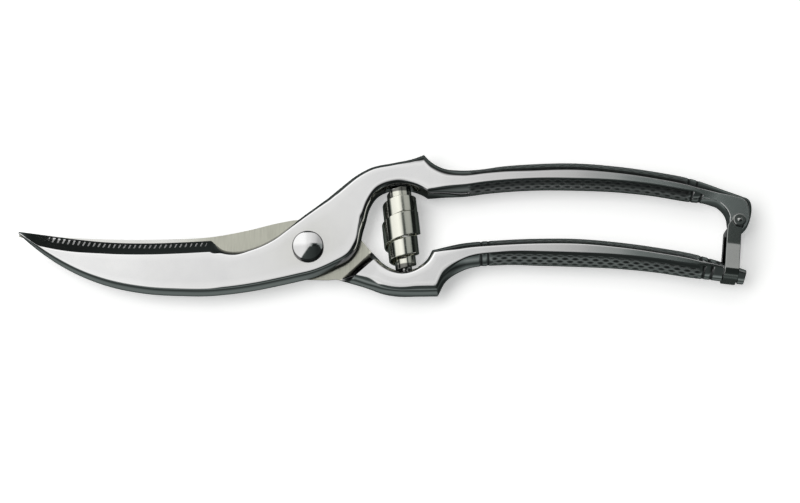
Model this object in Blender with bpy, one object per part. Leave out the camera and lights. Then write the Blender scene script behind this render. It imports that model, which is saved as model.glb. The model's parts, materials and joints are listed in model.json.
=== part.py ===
"""Poultry shears: two forged levers with a half-lap joint, a double volute spring and a swinging latch.

Metres, +Z up. The shears lie on their back. +X runs from the blades to the handles and +Y towards the
upper handle. Sizes are taken about the pivot axis, with Z = 0 on the plane where the two levers meet;
at the end the whole part is moved so that the bottom centre of its box is the origin.
"""

import math
from collections import namedtuple

import bmesh
import bpy
import numpy as np
from mathutils import Matrix, Vector

# Joint, where the two levers are halved and lapped
JOINT_RADIUS = 0.0102
JOINT_HALF = 0.0034
LAP_GAP = 0.0003
FIT_GAP = 0.0003
STEP_SLOPE = 0.0027
JOINT_DRAFT = 0.0010
JOINT_FULLNESS = 0.3

# Front blade: the lower, wide one
BLADE_LENGTH = 0.0985
TIP_RISE = 0.0056
TIP_WIDTH = 0.0007
TIP_THICKNESS = 0.0012
BELLY_DISTANCE = 0.0380
BELLY_DROP = 0.0165
BELLY_CURVE = 2.55
EDGE_SAG = 0.0020
EDGE_LAND = 0.0002
BEVEL_WIDTH = 0.0046
SPINE_DRAFT = 0.0016
HEEL_DISTANCE = 0.0330
HEEL_RISE = 0.0032
NOTCH_DEPTH = 0.0052

# Serrations along the front blade's bevel
TOOTH_PITCH = 0.00173
TOOTH_LENGTH = 0.0016
TOOTH_DEPTH = 0.00035
TOOTH_LEAN = 20.0
TOOTH_MARGIN = 0.0025
TOOTH_TIP_MARGIN = 0.0110
TOOTH_SHARE = 0.84

# Rear blade: the upper, narrow one
REAR_SPINE_DIP = 0.0034
REAR_SPINE_RISE = 0.0071
REAR_EDGE_DROP = 0.0064
REAR_EDGE_CURVE = 2.2
REAR_BEVEL_WIDTH = 0.0036

# Bows round the spring, about their own centre
BOW_X = 0.0315
BOW_Y = 0.0063
UPPER_BOW_RADIUS = 0.0157
LOWER_BOW_RADIUS = 0.0140
UPPER_BOW_WALL = 0.0100
LOWER_BOW_WALL = 0.0088
BOW_HALF = 0.0038
BOW_DRAFT = 0.0020
SIDE_LAND = 0.0004
UPPER_SPUR = 0.0036
LOWER_SPUR = 0.0030

# Handles: each centre line is an arc with its crown at a known place
HANDLE_LEAD = 0.0205
HANDLE_NECK_X = 0.1310
UPPER_CROWN_X = 0.0860
UPPER_CROWN_Y = 0.0266
UPPER_ARC = 0.2000
LOWER_CROWN_X = 0.0800
LOWER_CROWN_Y = -0.0008
LOWER_ARC = 0.2560
HANDLE_WAIST = 0.0089
HANDLE_SWELL = 0.0098
HANDLE_NECK = 0.0082
HANDLE_HALF = 0.0047
HANDLE_OUTER_DRAFT = 0.0037
HANDLE_INNER_DRAFT = 0.0030
HANDLE_FLAT = 0.2

# Ends of the handles: the boss above, and the notched tip below that the latch catches
BOSS_REACH = 0.0149
BOSS_DROP = 0.0124
BOSS_RADIUS = 0.0042
BOSS_HALF = 0.0032
SHOULDER_RISE = 0.0094
CATCH_OVERHANG = 0.0011
CATCH_WIDTH = 0.0052
CATCH_HALF = 0.0030
CATCH_DEPTH = 0.0020

# Pivot bolt, washer and nut
PIVOT_SHANK = 0.0060
PIVOT_HEAD = 0.0106
PIVOT_HEAD_RIM = 0.0006
PIVOT_DOME = 0.0017
WASHER_OUTER = 0.0110
WASHER_THICKNESS = 0.0005
NUT_DIAMETER = 0.0100
NUT_THICKNESS = 0.0015
NUT_SLOT_WIDTH = 0.0014
NUT_SLOT_DEPTH = 0.0007

# Spring and its studs
SPRING_TURNS = 2.0
SPRING_MID_RADIUS = 0.0060
SPRING_END_RADIUS = 0.0032
SPRING_TAPER = 1.45
SPRING_NEST = 2.2
STRIP_THICKNESS = 0.0006
STRIP_WIDTH = 0.0086
STRIP_END_WIDTH = 0.0034
STRIP_GAP = 0.00048
UPPER_SEAT_ANGLE = 96.0
LOWER_SEAT_ANGLE = -84.0
STUD_CLEARANCE = 0.0006
STUD_HEIGHT = 0.0042
STUD_SHANK = 0.0026
STUD_DEPTH = 0.0040
SPRING_FACETS = 20

# Latch
RIVET_SHANK = 0.0024
RIVET_HEAD = 0.0044
RIVET_HEAD_HEIGHT = 0.0008
LATCH_LEAN = 10.5
STRAP_WIDTH = 0.0043
STRAP_THICKNESS = 0.0012
STRAP_BEND = 0.0024
STRAP_SLACK = 0.0012

Station = namedtuple(
    "Station",
    "edge back half full edge_draft back_draft edge_land back_land fullness steps corner",
)


def station(edge, back, half, full=0.0, edge_draft=BOW_DRAFT, back_draft=BOW_DRAFT, edge_land=SIDE_LAND,
            back_land=SIDE_LAND, fullness=0.45, steps=3, corner=""):
    """One cross-section of a lever, from its cutting or outer edge to its spine or inner back.

    half is the height of the front face. full is 0 where the lever is halved and 1 where it has its
    whole thickness. A draft is how far the face stands in from the side. fullness rounds the sides.
    steps counts the rings up to the next station, and corner says on which side the outline breaks.
    """
    return Station(
        edge, back, half, full, edge_draft, back_draft, edge_land, back_land, fullness, steps, corner)


def polar(centre, radius, degrees):
    """A point at a radius and an angle about a centre."""
    angle = math.radians(degrees)
    return (centre[0] + radius * math.cos(angle), centre[1] + radius * math.sin(angle))


def mix(start, end, share):
    """The value at a share of the way from start to end."""
    return start + (end - start) * share


PIVOT = (0.0, 0.0)
BOW = (BOW_X, BOW_Y)
UPPER_OUTER = UPPER_BOW_RADIUS + UPPER_BOW_WALL
LOWER_OUTER = LOWER_BOW_RADIUS + LOWER_BOW_WALL
HANDLE_START = BOW_X + HANDLE_LEAD
STUD_RADIUS = SPRING_END_RADIUS - STRIP_THICKNESS / 2 - STUD_CLEARANCE


class Handle:
    """A handle's plan: a centre line on an arc, with a width that swells and narrows along it."""

    def __init__(self, crown_x, crown_y, arc, up, widths):
        self.crown_x, self.crown_y, self.arc, self.up = crown_x, crown_y, arc, up
        self.places, self.widths = zip(*widths)

    def point(self, x, side):
        """The outline at x: side 1 is the outer edge, -1 the inner one and 0 the centre line."""
        tilt = math.asin((x - self.crown_x) / self.arc)
        drop = self.arc * (1.0 - math.cos(tilt))
        reach = 0.5 * np.interp(x, self.places, self.widths) * side * self.up
        return (x + reach * math.sin(tilt), self.crown_y - drop + reach * math.cos(tilt))


MIDDLE_X = mix(HANDLE_START, HANDLE_NECK_X, 0.5)
COMMON_WIDTHS = [(HANDLE_START, HANDLE_WAIST), (MIDDLE_X, HANDLE_SWELL), (HANDLE_NECK_X, HANDLE_NECK)]
UPPER_HANDLE = Handle(UPPER_CROWN_X, UPPER_CROWN_Y, UPPER_ARC, 1.0, COMMON_WIDTHS)
RIVET_X = HANDLE_NECK_X + BOSS_REACH
RIVET_Y = UPPER_HANDLE.point(HANDLE_NECK_X, 0)[1] - BOSS_DROP
RIVET = (RIVET_X, RIVET_Y)
CATCH_X = RIVET_X + CATCH_OVERHANG
LOWER_WIDTHS = COMMON_WIDTHS + [(CATCH_X, CATCH_WIDTH)]
LOWER_HANDLE = Handle(LOWER_CROWN_X, LOWER_CROWN_Y, LOWER_ARC, -1.0, LOWER_WIDTHS)


def between(start, end, share):
    """The point at a share of the way from start to end."""
    return tuple(mix(a, b, share) for a, b in zip(start, end))


def belly(share):
    """How deep the front blade's spine hangs below the tip, for a share of the way from tip to belly."""
    return (TIP_RISE + BELLY_DROP) * (1.0 - (1.0 - share) ** BELLY_CURVE)


def edge_height(share):
    """Height of the front cutting edge, for a share of the way from the tip to the heel."""
    return mix(TIP_RISE, HEEL_RISE, share) - EDGE_SAG * math.sin(math.pi * share)


def front_blade():
    """Stations from the tip of the front blade to the bone notch."""
    rows = []
    for share in (0.0, 0.05, 0.13, 0.28, 0.46, 0.68, 0.85, 1.0):
        x = mix(-BLADE_LENGTH, -HEEL_DISTANCE, share)
        reach = min(1.0, (x + BLADE_LENGTH) / (BLADE_LENGTH - BELLY_DISTANCE))
        edge = (x, edge_height(share))
        back = (x, min(TIP_RISE - belly(reach), edge[1] - TIP_WIDTH))
        depth = edge[1] - back[1]
        half = mix(TIP_THICKNESS, JOINT_HALF, min(1.0, 1.3 * share))
        rows.append(station(
            edge, back, half, edge_draft=min(BEVEL_WIDTH, 0.45 * depth),
            back_draft=min(SPINE_DRAFT, 0.2 * depth), edge_land=EDGE_LAND, fullness=0.0,
            corner="edge" if share == 1.0 else "",
        ))
    return rows


def front_joint():
    """Stations from the bone notch over the front half of the joint."""
    heel, low = (-HEEL_DISTANCE, HEEL_RISE), (-HEEL_DISTANCE, -BELLY_DROP)
    edge_end = polar(PIVOT, 1.20 * JOINT_RADIUS, 164.0)
    back_end = polar(PIVOT, 1.62 * JOINT_RADIUS, -128.0)
    rows = []
    for along, depth, back_share in ((0.20, 0.85, 0.24), (0.38, 1.0, 0.45), (0.66, 0.66, 0.72)):
        edge = (mix(heel[0], edge_end[0], along), heel[1] - depth * NOTCH_DEPTH)
        rows.append(station(
            edge, between(low, back_end, back_share), JOINT_HALF, edge_draft=0.4 * JOINT_DRAFT,
            back_draft=SPINE_DRAFT, fullness=JOINT_FULLNESS,
        ))
    for edge, back in (
        (edge_end, back_end),
        (polar(PIVOT, 0.99 * JOINT_RADIUS, 125.0), polar(PIVOT, 1.20 * JOINT_RADIUS, -109.0)),
        (polar(PIVOT, 1.16 * JOINT_RADIUS, 95.0), polar(PIVOT, JOINT_RADIUS, -76.0)),
        (polar(PIVOT, 1.50 * JOINT_RADIUS, 78.0), polar(PIVOT, 1.11 * JOINT_RADIUS, -39.0)),
        (polar(PIVOT, 1.78 * JOINT_RADIUS, 70.0), polar(PIVOT, 1.45 * JOINT_RADIUS, -15.0)),
    ):
        rows.append(station(
            edge, back, JOINT_HALF, edge_draft=JOINT_DRAFT, back_draft=SPINE_DRAFT,
            fullness=JOINT_FULLNESS))
    return rows


def lap_step(last, goal, edge_share, back_share):
    """The foot of the half lap's step, on the lapped face, and its head, where the lever is whole."""
    edge_slope = STEP_SLOPE / math.dist(last.edge, goal.edge)
    back_slope = STEP_SLOPE / math.dist(last.back, goal.back)
    foot = station(
        between(last.edge, goal.edge, edge_share), between(last.back, goal.back, back_share),
        JOINT_HALF, steps=1)
    head = station(
        between(last.edge, goal.edge, edge_share + edge_slope),
        between(last.back, goal.back, back_share + back_slope), mix(JOINT_HALF, BOW_HALF, 0.5), 1.0, steps=2)
    return [foot, head]


def front_bow(last):
    """Stations over the step and round the upper bow to the corner where the handle starts."""
    goal = station(
        polar(BOW, UPPER_OUTER, 140.0), polar(BOW, 0.81 * UPPER_BOW_RADIUS, 163.0), BOW_HALF, 1.0)
    rows = lap_step(last, goal, 0.25, 0.75) + [goal]
    for outer_share, inner_share, radius_share in (
        (0.32, 0.30, 0.87), (0.61, 0.61, 0.97), (1.0, 1.0, 1.0),
    ):
        rows.append(station(
            polar(BOW, UPPER_OUTER, mix(140.0, UPPER_SEAT_ANGLE, outer_share)),
            polar(BOW, radius_share * UPPER_BOW_RADIUS, mix(163.0, UPPER_SEAT_ANGLE, inner_share)),
            BOW_HALF, 1.0,
        ))
    spur_angle, corner_angle, inner = 74.5, 54.0, 0.99 * UPPER_BOW_RADIUS
    for spur_share, outer_share, inner_share, corner in (
        (0.4, 0.70, 0.52, ""), (1.0, 1.0, 0.81, "edge"), (0.45, 1.30, 1.0, "back"),
    ):
        rows.append(station(
            polar(BOW, UPPER_OUTER + spur_share * UPPER_SPUR, mix(UPPER_SEAT_ANGLE, spur_angle, outer_share)),
            polar(BOW, inner, mix(UPPER_SEAT_ANGLE, corner_angle, inner_share)),
            BOW_HALF, 1.0, corner=corner,
        ))
    return rows


def handle_rows(handle, places, half_places):
    """Stations along a handle, at the places given."""
    return [
        station(handle.point(x, 1), handle.point(x, -1), float(np.interp(x, *half_places)), 1.0,
                HANDLE_OUTER_DRAFT, HANDLE_INNER_DRAFT, fullness=0.3, steps=4)
        for x in places
    ]


def handle_places(first, last, count):
    """Evenly spaced places along a handle."""
    return [mix(first, last, number / (count - 1)) for number in range(count)]


def front_handle():
    """Stations along the upper handle and round the boss at its end."""
    flat_start = mix(HANDLE_START, HANDLE_NECK_X, HANDLE_FLAT)
    flat_end = mix(HANDLE_START, HANDLE_NECK_X, 1.0 - HANDLE_FLAT)
    heights = (
        (HANDLE_START, flat_start, flat_end, HANDLE_NECK_X),
        (BOW_HALF, HANDLE_HALF, HANDLE_HALF, mix(BOSS_HALF, HANDLE_HALF, 0.6)),
    )
    rows = handle_rows(UPPER_HANDLE, handle_places(HANDLE_START, HANDLE_NECK_X, 7), heights)
    shoulder = (RIVET_X + 0.97 * BOSS_RADIUS, RIVET_Y + SHOULDER_RISE)
    neck = UPPER_HANDLE.point(HANDLE_NECK_X, 1)
    draft = 0.6 * BOW_DRAFT
    ends = [(between(neck, shoulder, 0.6), (-2.2, 0.78)), (shoulder, (-1.49, 0.58))]
    ends.append(((RIVET_X + 1.27 * BOSS_RADIUS, RIVET_Y + 0.62 * SHOULDER_RISE), (-1.14, 0.34)))
    for edge, (aside, above) in ends:
        back = (RIVET_X + aside * BOSS_RADIUS, RIVET_Y + above * SHOULDER_RISE)
        rows.append(station(edge, back, BOSS_HALF, 1.0, draft, draft))
    for angle in (0.0, 25.0, 50.0, 75.0):
        rows.append(station(
            polar(RIVET, BOSS_RADIUS, -angle), polar(RIVET, BOSS_RADIUS, 180.0 + angle), BOSS_HALF, 1.0,
            0.3 * draft, 0.3 * draft, steps=2,
        ))
    return rows


def rear_blade():
    """Stations from the tip of the rear blade to the joint."""
    rows = []
    for share in (0.0, 0.06, 0.16, 0.34, 0.55, 0.78, 1.0):
        x = mix(-BLADE_LENGTH, -HEEL_DISTANCE, share)
        spine = mix(TIP_RISE, REAR_SPINE_DIP, math.sin(math.pi * min(1.0, 1.35 * share) * 0.5))
        spine = mix(spine, REAR_SPINE_RISE, 0.35 * share ** 4)
        fall = 0.93 * (TIP_RISE + REAR_EDGE_DROP) * (1.0 - (1.0 - share) ** REAR_EDGE_CURVE)
        edge = TIP_RISE - TIP_WIDTH - fall
        depth = spine - edge
        half = mix(TIP_THICKNESS, JOINT_HALF, min(1.0, 1.3 * share))
        rows.append(station(
            (x, edge), (x, spine), half, edge_draft=min(REAR_BEVEL_WIDTH, 0.45 * depth),
            back_draft=min(SPINE_DRAFT, 0.2 * depth), edge_land=EDGE_LAND, fullness=0.0,
        ))
    return rows


def rear_joint():
    """Stations over the rear half of the joint to its step."""
    rows = [
        ((-0.66 * HEEL_DISTANCE, -REAR_EDGE_DROP), (-0.62 * HEEL_DISTANCE, REAR_SPINE_RISE)),
        (polar(PIVOT, 1.33 * JOINT_RADIUS, -140.0), polar(PIVOT, 1.38 * JOINT_RADIUS, 136.0)),
        (polar(PIVOT, 1.06 * JOINT_RADIUS, -108.0), polar(PIVOT, 1.12 * JOINT_RADIUS, 108.0)),
        (polar(PIVOT, 1.06 * JOINT_RADIUS, -78.0), polar(PIVOT, 1.03 * JOINT_RADIUS, 78.0)),
        (polar(PIVOT, 1.26 * JOINT_RADIUS, -56.0), polar(PIVOT, 1.10 * JOINT_RADIUS, 48.0)),
        (polar(PIVOT, 1.40 * JOINT_RADIUS, -47.0), polar(PIVOT, 1.42 * JOINT_RADIUS, 22.0)),
    ]
    return [
        station(edge, back, JOINT_HALF, edge_draft=JOINT_DRAFT, back_draft=SPINE_DRAFT,
                fullness=JOINT_FULLNESS)
        for edge, back in rows
    ]


def rear_bow(last):
    """Stations over the step and round the lower bow to the corner where the handle starts."""
    start = -124.0
    goal = station(
        polar(BOW, 1.04 * LOWER_OUTER, -122.0), polar(BOW, 0.90 * LOWER_BOW_RADIUS, start), BOW_HALF, 1.0)
    rows = lap_step(last, goal, 0.26, 0.70) + [goal]
    for outer_angle, inner_share, radius_share in ((-108.0, 0.48, 0.96), (-93.0, 1.0, 1.0)):
        rows.append(station(
            polar(BOW, LOWER_OUTER, outer_angle),
            polar(BOW, radius_share * LOWER_BOW_RADIUS, mix(start, LOWER_SEAT_ANGLE, inner_share)),
            BOW_HALF, 1.0,
        ))
    corner_angle = -32.0
    for spur_share, outer_angle, inner_share, radius_share, corner in (
        (0.23, -76.0, 0.42, 0.97, ""), (1.0, -61.6, 0.69, 0.935, "edge"), (0.1, -49.0, 1.0, 0.88, "back"),
    ):
        rows.append(station(
            polar(BOW, LOWER_OUTER + spur_share * LOWER_SPUR, outer_angle),
            polar(BOW, radius_share * LOWER_BOW_RADIUS, mix(LOWER_SEAT_ANGLE, corner_angle, inner_share)),
            BOW_HALF, 1.0, corner=corner,
        ))
    return rows


def rear_handle():
    """Stations along the lower handle to the tip that the latch holds."""
    flat_start = mix(HANDLE_START, HANDLE_NECK_X, HANDLE_FLAT)
    flat_end = mix(HANDLE_START, HANDLE_NECK_X, 1.0 - HANDLE_FLAT)
    heights = (
        (HANDLE_START, flat_start, flat_end, HANDLE_NECK_X, CATCH_X),
        (BOW_HALF, HANDLE_HALF, HANDLE_HALF, mix(CATCH_HALF, HANDLE_HALF, 0.4), CATCH_HALF),
    )
    places = handle_places(HANDLE_START, HANDLE_NECK_X, 7) + handle_places(HANDLE_NECK_X, CATCH_X, 4)[1:]
    rows = handle_rows(LOWER_HANDLE, places, heights)
    catch = [row._replace(edge_draft=0.3 * CATCH_WIDTH, back_draft=0.3 * CATCH_WIDTH) for row in rows[-3:]]
    return rows[:-3] + catch


def tangents(points, places, broken):
    """Slopes of a smooth curve through points; a broken point takes the slope of its nearer chord."""
    count = len(points)
    chords = [(points[i + 1] - points[i]) / (places[i + 1] - places[i]) for i in range(count - 1)]
    slopes = []
    for i in range(count):
        before, after = chords[max(i - 1, 0)], chords[min(i, count - 2)]
        if broken[i]:
            slopes.append((before, after))
            continue
        span_before = places[i] - places[max(i - 1, 0)]
        span_after = places[min(i + 1, count - 1)] - places[i]
        whole = (before * span_after + after * span_before) / max(span_before + span_after, 1e-9)
        slopes.append((whole, whole))
    return slopes


def hermite(start, end, slope_start, slope_end, span, share):
    """A cubic between two points with the slopes given."""
    t2, t3 = share * share, share ** 3
    return (
        (2 * t3 - 3 * t2 + 1) * start + (t3 - 2 * t2 + share) * span * slope_start
        + (3 * t2 - 2 * t3) * end + (t3 - t2) * span * slope_end
    )


def rail(stations, name):
    """A side's outline as a function of segment and share, smooth but for its corners."""
    points = [Vector(getattr(row, name)) for row in stations]
    places = [0.0]
    for before, after in zip(points, points[1:]):
        places.append(places[-1] + max((after - before).length, 1e-6))
    slopes = tangents(points, places, [row.corner == name for row in stations])

    def at(segment, share):
        span = places[segment + 1] - places[segment]
        start, end = points[segment], points[segment + 1]
        return hermite(start, end, slopes[segment][1], slopes[segment + 1][0], span, share)

    return at


def side_points(low, high, land_top, inset, fullness, count=2):
    """Heights and insets up one side, from its land to its face, between a slope and a quarter ellipse."""
    points = []
    for number in range(1, count + 1):
        share = number / (count + 1)
        turn = share * math.pi / 2
        points.append((
            inset * mix(share, 1.0 - math.cos(turn), fullness),
            mix(land_top, high, mix(share, math.sin(turn), fullness)),
        ))
    return [(0.0, low), (0.0, land_top)] + points + [(inset, high)]


def section_ring(row, edge, back):
    """The closed ring of points of one section, counted up the edge, over the face and down the back."""
    across = (back - edge).normalized()
    floor = LAP_GAP / 2
    ring = []
    sides = ((edge, across, row.edge_land, row.edge_draft), (back, -across, row.back_land, row.back_draft))
    for number, (start, inward, land, draft) in enumerate(sides):
        low, top = mix(floor, -land, row.full), mix(floor + land, land, row.full)
        upper = side_points(low, row.half, top, draft, row.fullness)
        lower = [(inset, mix(floor, -height, row.full)) for inset, height in upper[2:]]
        points = [Vector((*(start + inward * inset), height)) for inset, height in lower[::-1] + upper]
        ring += points if number == 0 else points[::-1]
    return ring


def blend_rows(first, second, share):
    """Section sizes part of the way between two stations."""
    keys = ("half", "full", "edge_draft", "back_draft", "edge_land", "back_land", "fullness")
    return first._replace(**{key: mix(getattr(first, key), getattr(second, key), share) for key in keys})


def loft(name, stations, finish, flip):
    """A lever skinned over its stations. flip turns it over, for the rear lever."""
    edge_at, back_at = rail(stations, "edge"), rail(stations, "back")
    rings = []
    for number, (row, following) in enumerate(zip(stations, stations[1:])):
        last = number == len(stations) - 2
        for step in range(row.steps + (1 if last else 0)):
            share = step / row.steps
            sizes = blend_rows(row, following, share)
            rings.append(section_ring(sizes, edge_at(number, share), back_at(number, share)))
    mesh = bmesh.new()
    turn = -1.0 if flip else 1.0
    loops = [[mesh.verts.new((p.x, p.y, turn * p.z)) for p in ring] for ring in rings]
    for first, second in zip(loops, loops[1:]):
        for i in range(len(first)):
            j = (i + 1) % len(first)
            mesh.faces.new((first[i], first[j], second[j], second[i]))
    mesh.faces.new(loops[0][::-1])
    mesh.faces.new(loops[-1])
    return finished(name, mesh, finish)


def finished(name, mesh, finish):
    """An object from a mesh, with its faces outward, its round sides smooth and its material."""
    bmesh.ops.recalc_face_normals(mesh, faces=mesh.faces)
    data = bpy.data.meshes.new(name)
    mesh.to_mesh(data)
    mesh.free()
    data.shade_smooth()
    data.set_sharp_from_angle(angle=math.radians(35.0))
    thing = bpy.data.objects.new(name, data)
    bpy.context.collection.objects.link(thing)
    if finish:
        data.materials.append(finish)
    return thing


def turned(name, profile, finish, sides=32):
    """A round piece about Z from its profile of radius and height, read from bottom to top."""
    mesh = bmesh.new()
    rings = []
    for radius, height in profile:
        if radius == 0.0:
            rings.append([mesh.verts.new((0.0, 0.0, height))])
            continue
        angles = [2.0 * math.pi * number / sides for number in range(sides)]
        rings.append([mesh.verts.new((radius * math.cos(a), radius * math.sin(a), height)) for a in angles])
    closed = profile[0][0] != 0.0
    pairs = list(zip(rings, rings[1:])) + ([(rings[-1], rings[0])] if closed else [])
    for low, high in pairs:
        for i in range(sides):
            j = (i + 1) % sides
            corners = [low[i % len(low)], low[j % len(low)], high[j % len(high)], high[i % len(high)]]
            mesh.faces.new(list(dict.fromkeys(corners)))
    return finished(name, mesh, finish)


def dome(radius, base, height, steps=5):
    """Profile points of a round cap, from its rim up to its crown."""
    angles = [0.5 * math.pi * number / steps for number in range(steps + 1)]
    return [(radius * math.cos(a) if a < 1.57 else 0.0, base + height * math.sin(a)) for a in angles]


def cut(target, cutter):
    """Take a hidden cutter away from a piece."""
    cutter.hide_render = True
    cutter.display_type = "WIRE"
    difference = target.modifiers.new(cutter.name, "BOOLEAN")
    difference.operation = "DIFFERENCE"
    difference.solver = "EXACT"
    difference.object = cutter


def drill(name, diameter, low, high):
    """A plain round cutter."""
    radius = diameter / 2
    return turned(name, [(0.0, low), (radius, low), (radius, high), (0.0, high)], None, 24)


def steel(name, colour, roughness):
    """A bare metal finish."""
    finish = bpy.data.materials.new(name)
    finish.use_nodes = True
    shader = finish.node_tree.nodes["Principled BSDF"]
    shader.inputs["Base Color"].default_value = (*colour, 1.0)
    shader.inputs["Metallic"].default_value = 1.0
    shader.inputs["Roughness"].default_value = roughness
    return finish


def tooth_comb(edge_at, stations):
    """Cutters for the serrations: slanted wedges that bite into the bevel at the edge and run out up it."""
    mesh = bmesh.new()
    lean = math.radians(TOOTH_LEAN)
    start, end = -BLADE_LENGTH + TOOTH_TIP_MARGIN, -HEEL_DISTANCE - TOOTH_MARGIN
    count = int((end - start) / TOOTH_PITCH) + 1
    places = [edge_at(segment, share / 8) for segment in range(len(stations) - 1) for share in range(9)]
    known_x, known_y = [p.x for p in places], [p.y for p in places]
    across = Vector((-math.sin(lean), -math.cos(lean), 0.0))
    along = Vector((math.cos(lean), -math.sin(lean), 0.0))
    bevel_rise = (JOINT_HALF - EDGE_LAND) / BEVEL_WIDTH
    for number in range(count):
        x = start + number * TOOTH_PITCH
        root = Vector((x, np.interp(x, known_x, known_y), LAP_GAP / 2 + EDGE_LAND))
        outer = root - across * TOOTH_LENGTH * 0.4
        inner = root + across * TOOTH_LENGTH
        top = Vector((0.0, 0.0, 1.2 * TOOTH_LENGTH * bevel_rise + TOOTH_DEPTH))
        wide = along * TOOTH_SHARE * TOOTH_PITCH / 2
        sink = Vector((0.0, 0.0, -TOOTH_DEPTH))
        rise = Vector((0.0, 0.0, TOOTH_LENGTH * bevel_rise))
        near = [outer + sink, outer + wide + top, outer - wide + top]
        far = [inner + rise, inner + 0.5 * wide + rise + top, inner - 0.5 * wide + rise + top]
        corners = [mesh.verts.new(p) for p in near + far]
        for face in ((0, 2, 1), (3, 4, 5), (0, 1, 4, 3), (1, 2, 5, 4), (2, 0, 3, 5)):
            mesh.faces.new([corners[i] for i in face])
    return finished("tooth_comb", mesh, None)


def seats():
    """The two places on the bows where the spring stands."""
    upper = polar(BOW, UPPER_BOW_RADIUS, UPPER_SEAT_ANGLE)
    lower = polar(BOW, LOWER_BOW_RADIUS, LOWER_SEAT_ANGLE)
    return Vector((*upper, 0.0)), Vector((*lower, 0.0))


def spring_centre_line(half_length, turns):
    """Radius, height and width of the strip at each turn, counted from the middle of the spring.

    Within one turn of the middle the strip climbs by its own width, so that its edges pass. Past that
    it lies inside the turn before, and its outer edge runs on to the seat.
    """
    turn = np.abs(turns)
    share = turn / SPRING_TURNS
    radius = SPRING_MID_RADIUS - (SPRING_MID_RADIUS - SPRING_END_RADIUS) * share ** SPRING_TAPER
    taper = (STRIP_WIDTH - STRIP_END_WIDTH) / SPRING_TURNS
    width = STRIP_WIDTH - taper * turn
    advance = STRIP_WIDTH - taper / 2 + STRIP_GAP
    first_edge = advance + (STRIP_WIDTH - taper) / 2
    past = np.maximum(turn - 1.0, 0.0) / (SPRING_TURNS - 1.0)
    nested = first_edge + (half_length - first_edge) * past ** SPRING_NEST - width / 2
    return radius, np.sign(turns) * np.where(turn < 1.0, advance * turn, nested), width


def volute_spring(finish):
    """One strip wound from a narrow end to a wide middle and back, standing between the bows."""
    upper, lower = seats()
    axis = (lower - upper).normalized()
    front = Vector((0.0, 0.0, 1.0))
    left = axis.cross(front)
    centre = (upper + lower) / 2
    half_length = spring_half_length()
    turns = np.linspace(-SPRING_TURNS, SPRING_TURNS, int(2 * SPRING_TURNS * SPRING_FACETS) + 1)
    radius, height, width = spring_centre_line(half_length, turns)
    mesh = bmesh.new()
    rings = []
    for n, r, h, w in zip(turns, radius, height, width):
        angle = 2.0 * math.pi * n
        outward = front * math.cos(angle) + left * math.sin(angle)
        spot = centre + axis * h
        half = STRIP_THICKNESS / 2
        corners = [(r - half, -w / 2), (r + half, -w / 2), (r + half, w / 2), (r - half, w / 2)]
        rings.append([mesh.verts.new(spot + outward * a + axis * b) for a, b in corners])
    for first, second in zip(rings, rings[1:]):
        for i in range(4):
            j = (i + 1) % 4
            mesh.faces.new((first[i], first[j], second[j], second[i]))
    mesh.faces.new(rings[0][::-1])
    mesh.faces.new(rings[-1])
    print("volute_spring least gap to itself, mm:", round(1000 * strip_gap(half_length), 3))
    return finished("volute_spring", mesh, finish)


def strip_gap(half_length):
    """The least distance from one turn of the strip to the next, measured on points over its faces."""
    count = 1000
    turns = np.linspace(-SPRING_TURNS, SPRING_TURNS, count)
    radius, height, width = spring_centre_line(half_length, turns)
    across = np.linspace(-0.5, 0.5, 7)
    layers = []
    for face in (-0.5, 0.5):
        reach = (radius + face * STRIP_THICKNESS)[:, None] + 0.0 * across
        angle = 2.0 * math.pi * turns[:, None]
        layers.append(np.stack([
            reach * np.cos(angle), reach * np.sin(angle), height[:, None] + width[:, None] * across,
        ], axis=2))
    cloud = np.concatenate(layers, axis=1)
    half_turn = int(count / SPRING_TURNS / 4)
    least = half_length
    for number in range(count - half_turn):
        nearby = cloud[number + half_turn:number + 3 * half_turn].reshape(-1, 3)
        apart = np.linalg.norm(cloud[number][:, None, :] - nearby[None, :, :], axis=2)
        least = min(least, float(apart.min()))
    return least


def spring_half_length():
    """Half the height of the spring between its seats."""
    upper, lower = seats()
    return (lower - upper).length / 2 - FIT_GAP


def spring_stud(name, seat, direction, lever, finish):
    """A stud set into the bow that keeps the spring's end in place, with its hole and the flat seat."""
    shank = STUD_SHANK / 2
    profile = [(0.0, -STUD_DEPTH), (shank, -STUD_DEPTH), (shank, FIT_GAP), (STUD_RADIUS, FIT_GAP)]
    profile += dome(STUD_RADIUS, FIT_GAP + 0.7 * STUD_HEIGHT, 0.3 * STUD_HEIGHT)
    half_length = spring_half_length()
    radius, height, width = spring_centre_line(half_length, np.array([1.0]))
    above = half_length - float(height[0] + width[0] / 2)
    bore, narrow = shank + FIT_GAP, SPRING_END_RADIUS + STRIP_THICKNESS + 2 * FIT_GAP
    wide = float(radius[0]) + STRIP_THICKNESS + FIT_GAP
    pocket = [(0.0, -STUD_DEPTH - FIT_GAP), (bore, -STUD_DEPTH - FIT_GAP), (bore, 0.0), (narrow, 0.0)]
    pocket += [(narrow, above), (wide, above), (wide, above + STRIP_WIDTH / 2), (0.0, above + STRIP_WIDTH / 2)]
    place = Matrix.Translation(seat) @ direction.to_track_quat("Z", "Y").to_matrix().to_4x4()
    stud, cutter = turned(name, profile, finish, 20), turned(name + "_pocket", pocket, None, 24)
    stud.data.transform(place)
    cutter.data.transform(place)
    cut(lever, cutter)
    return stud


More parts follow.
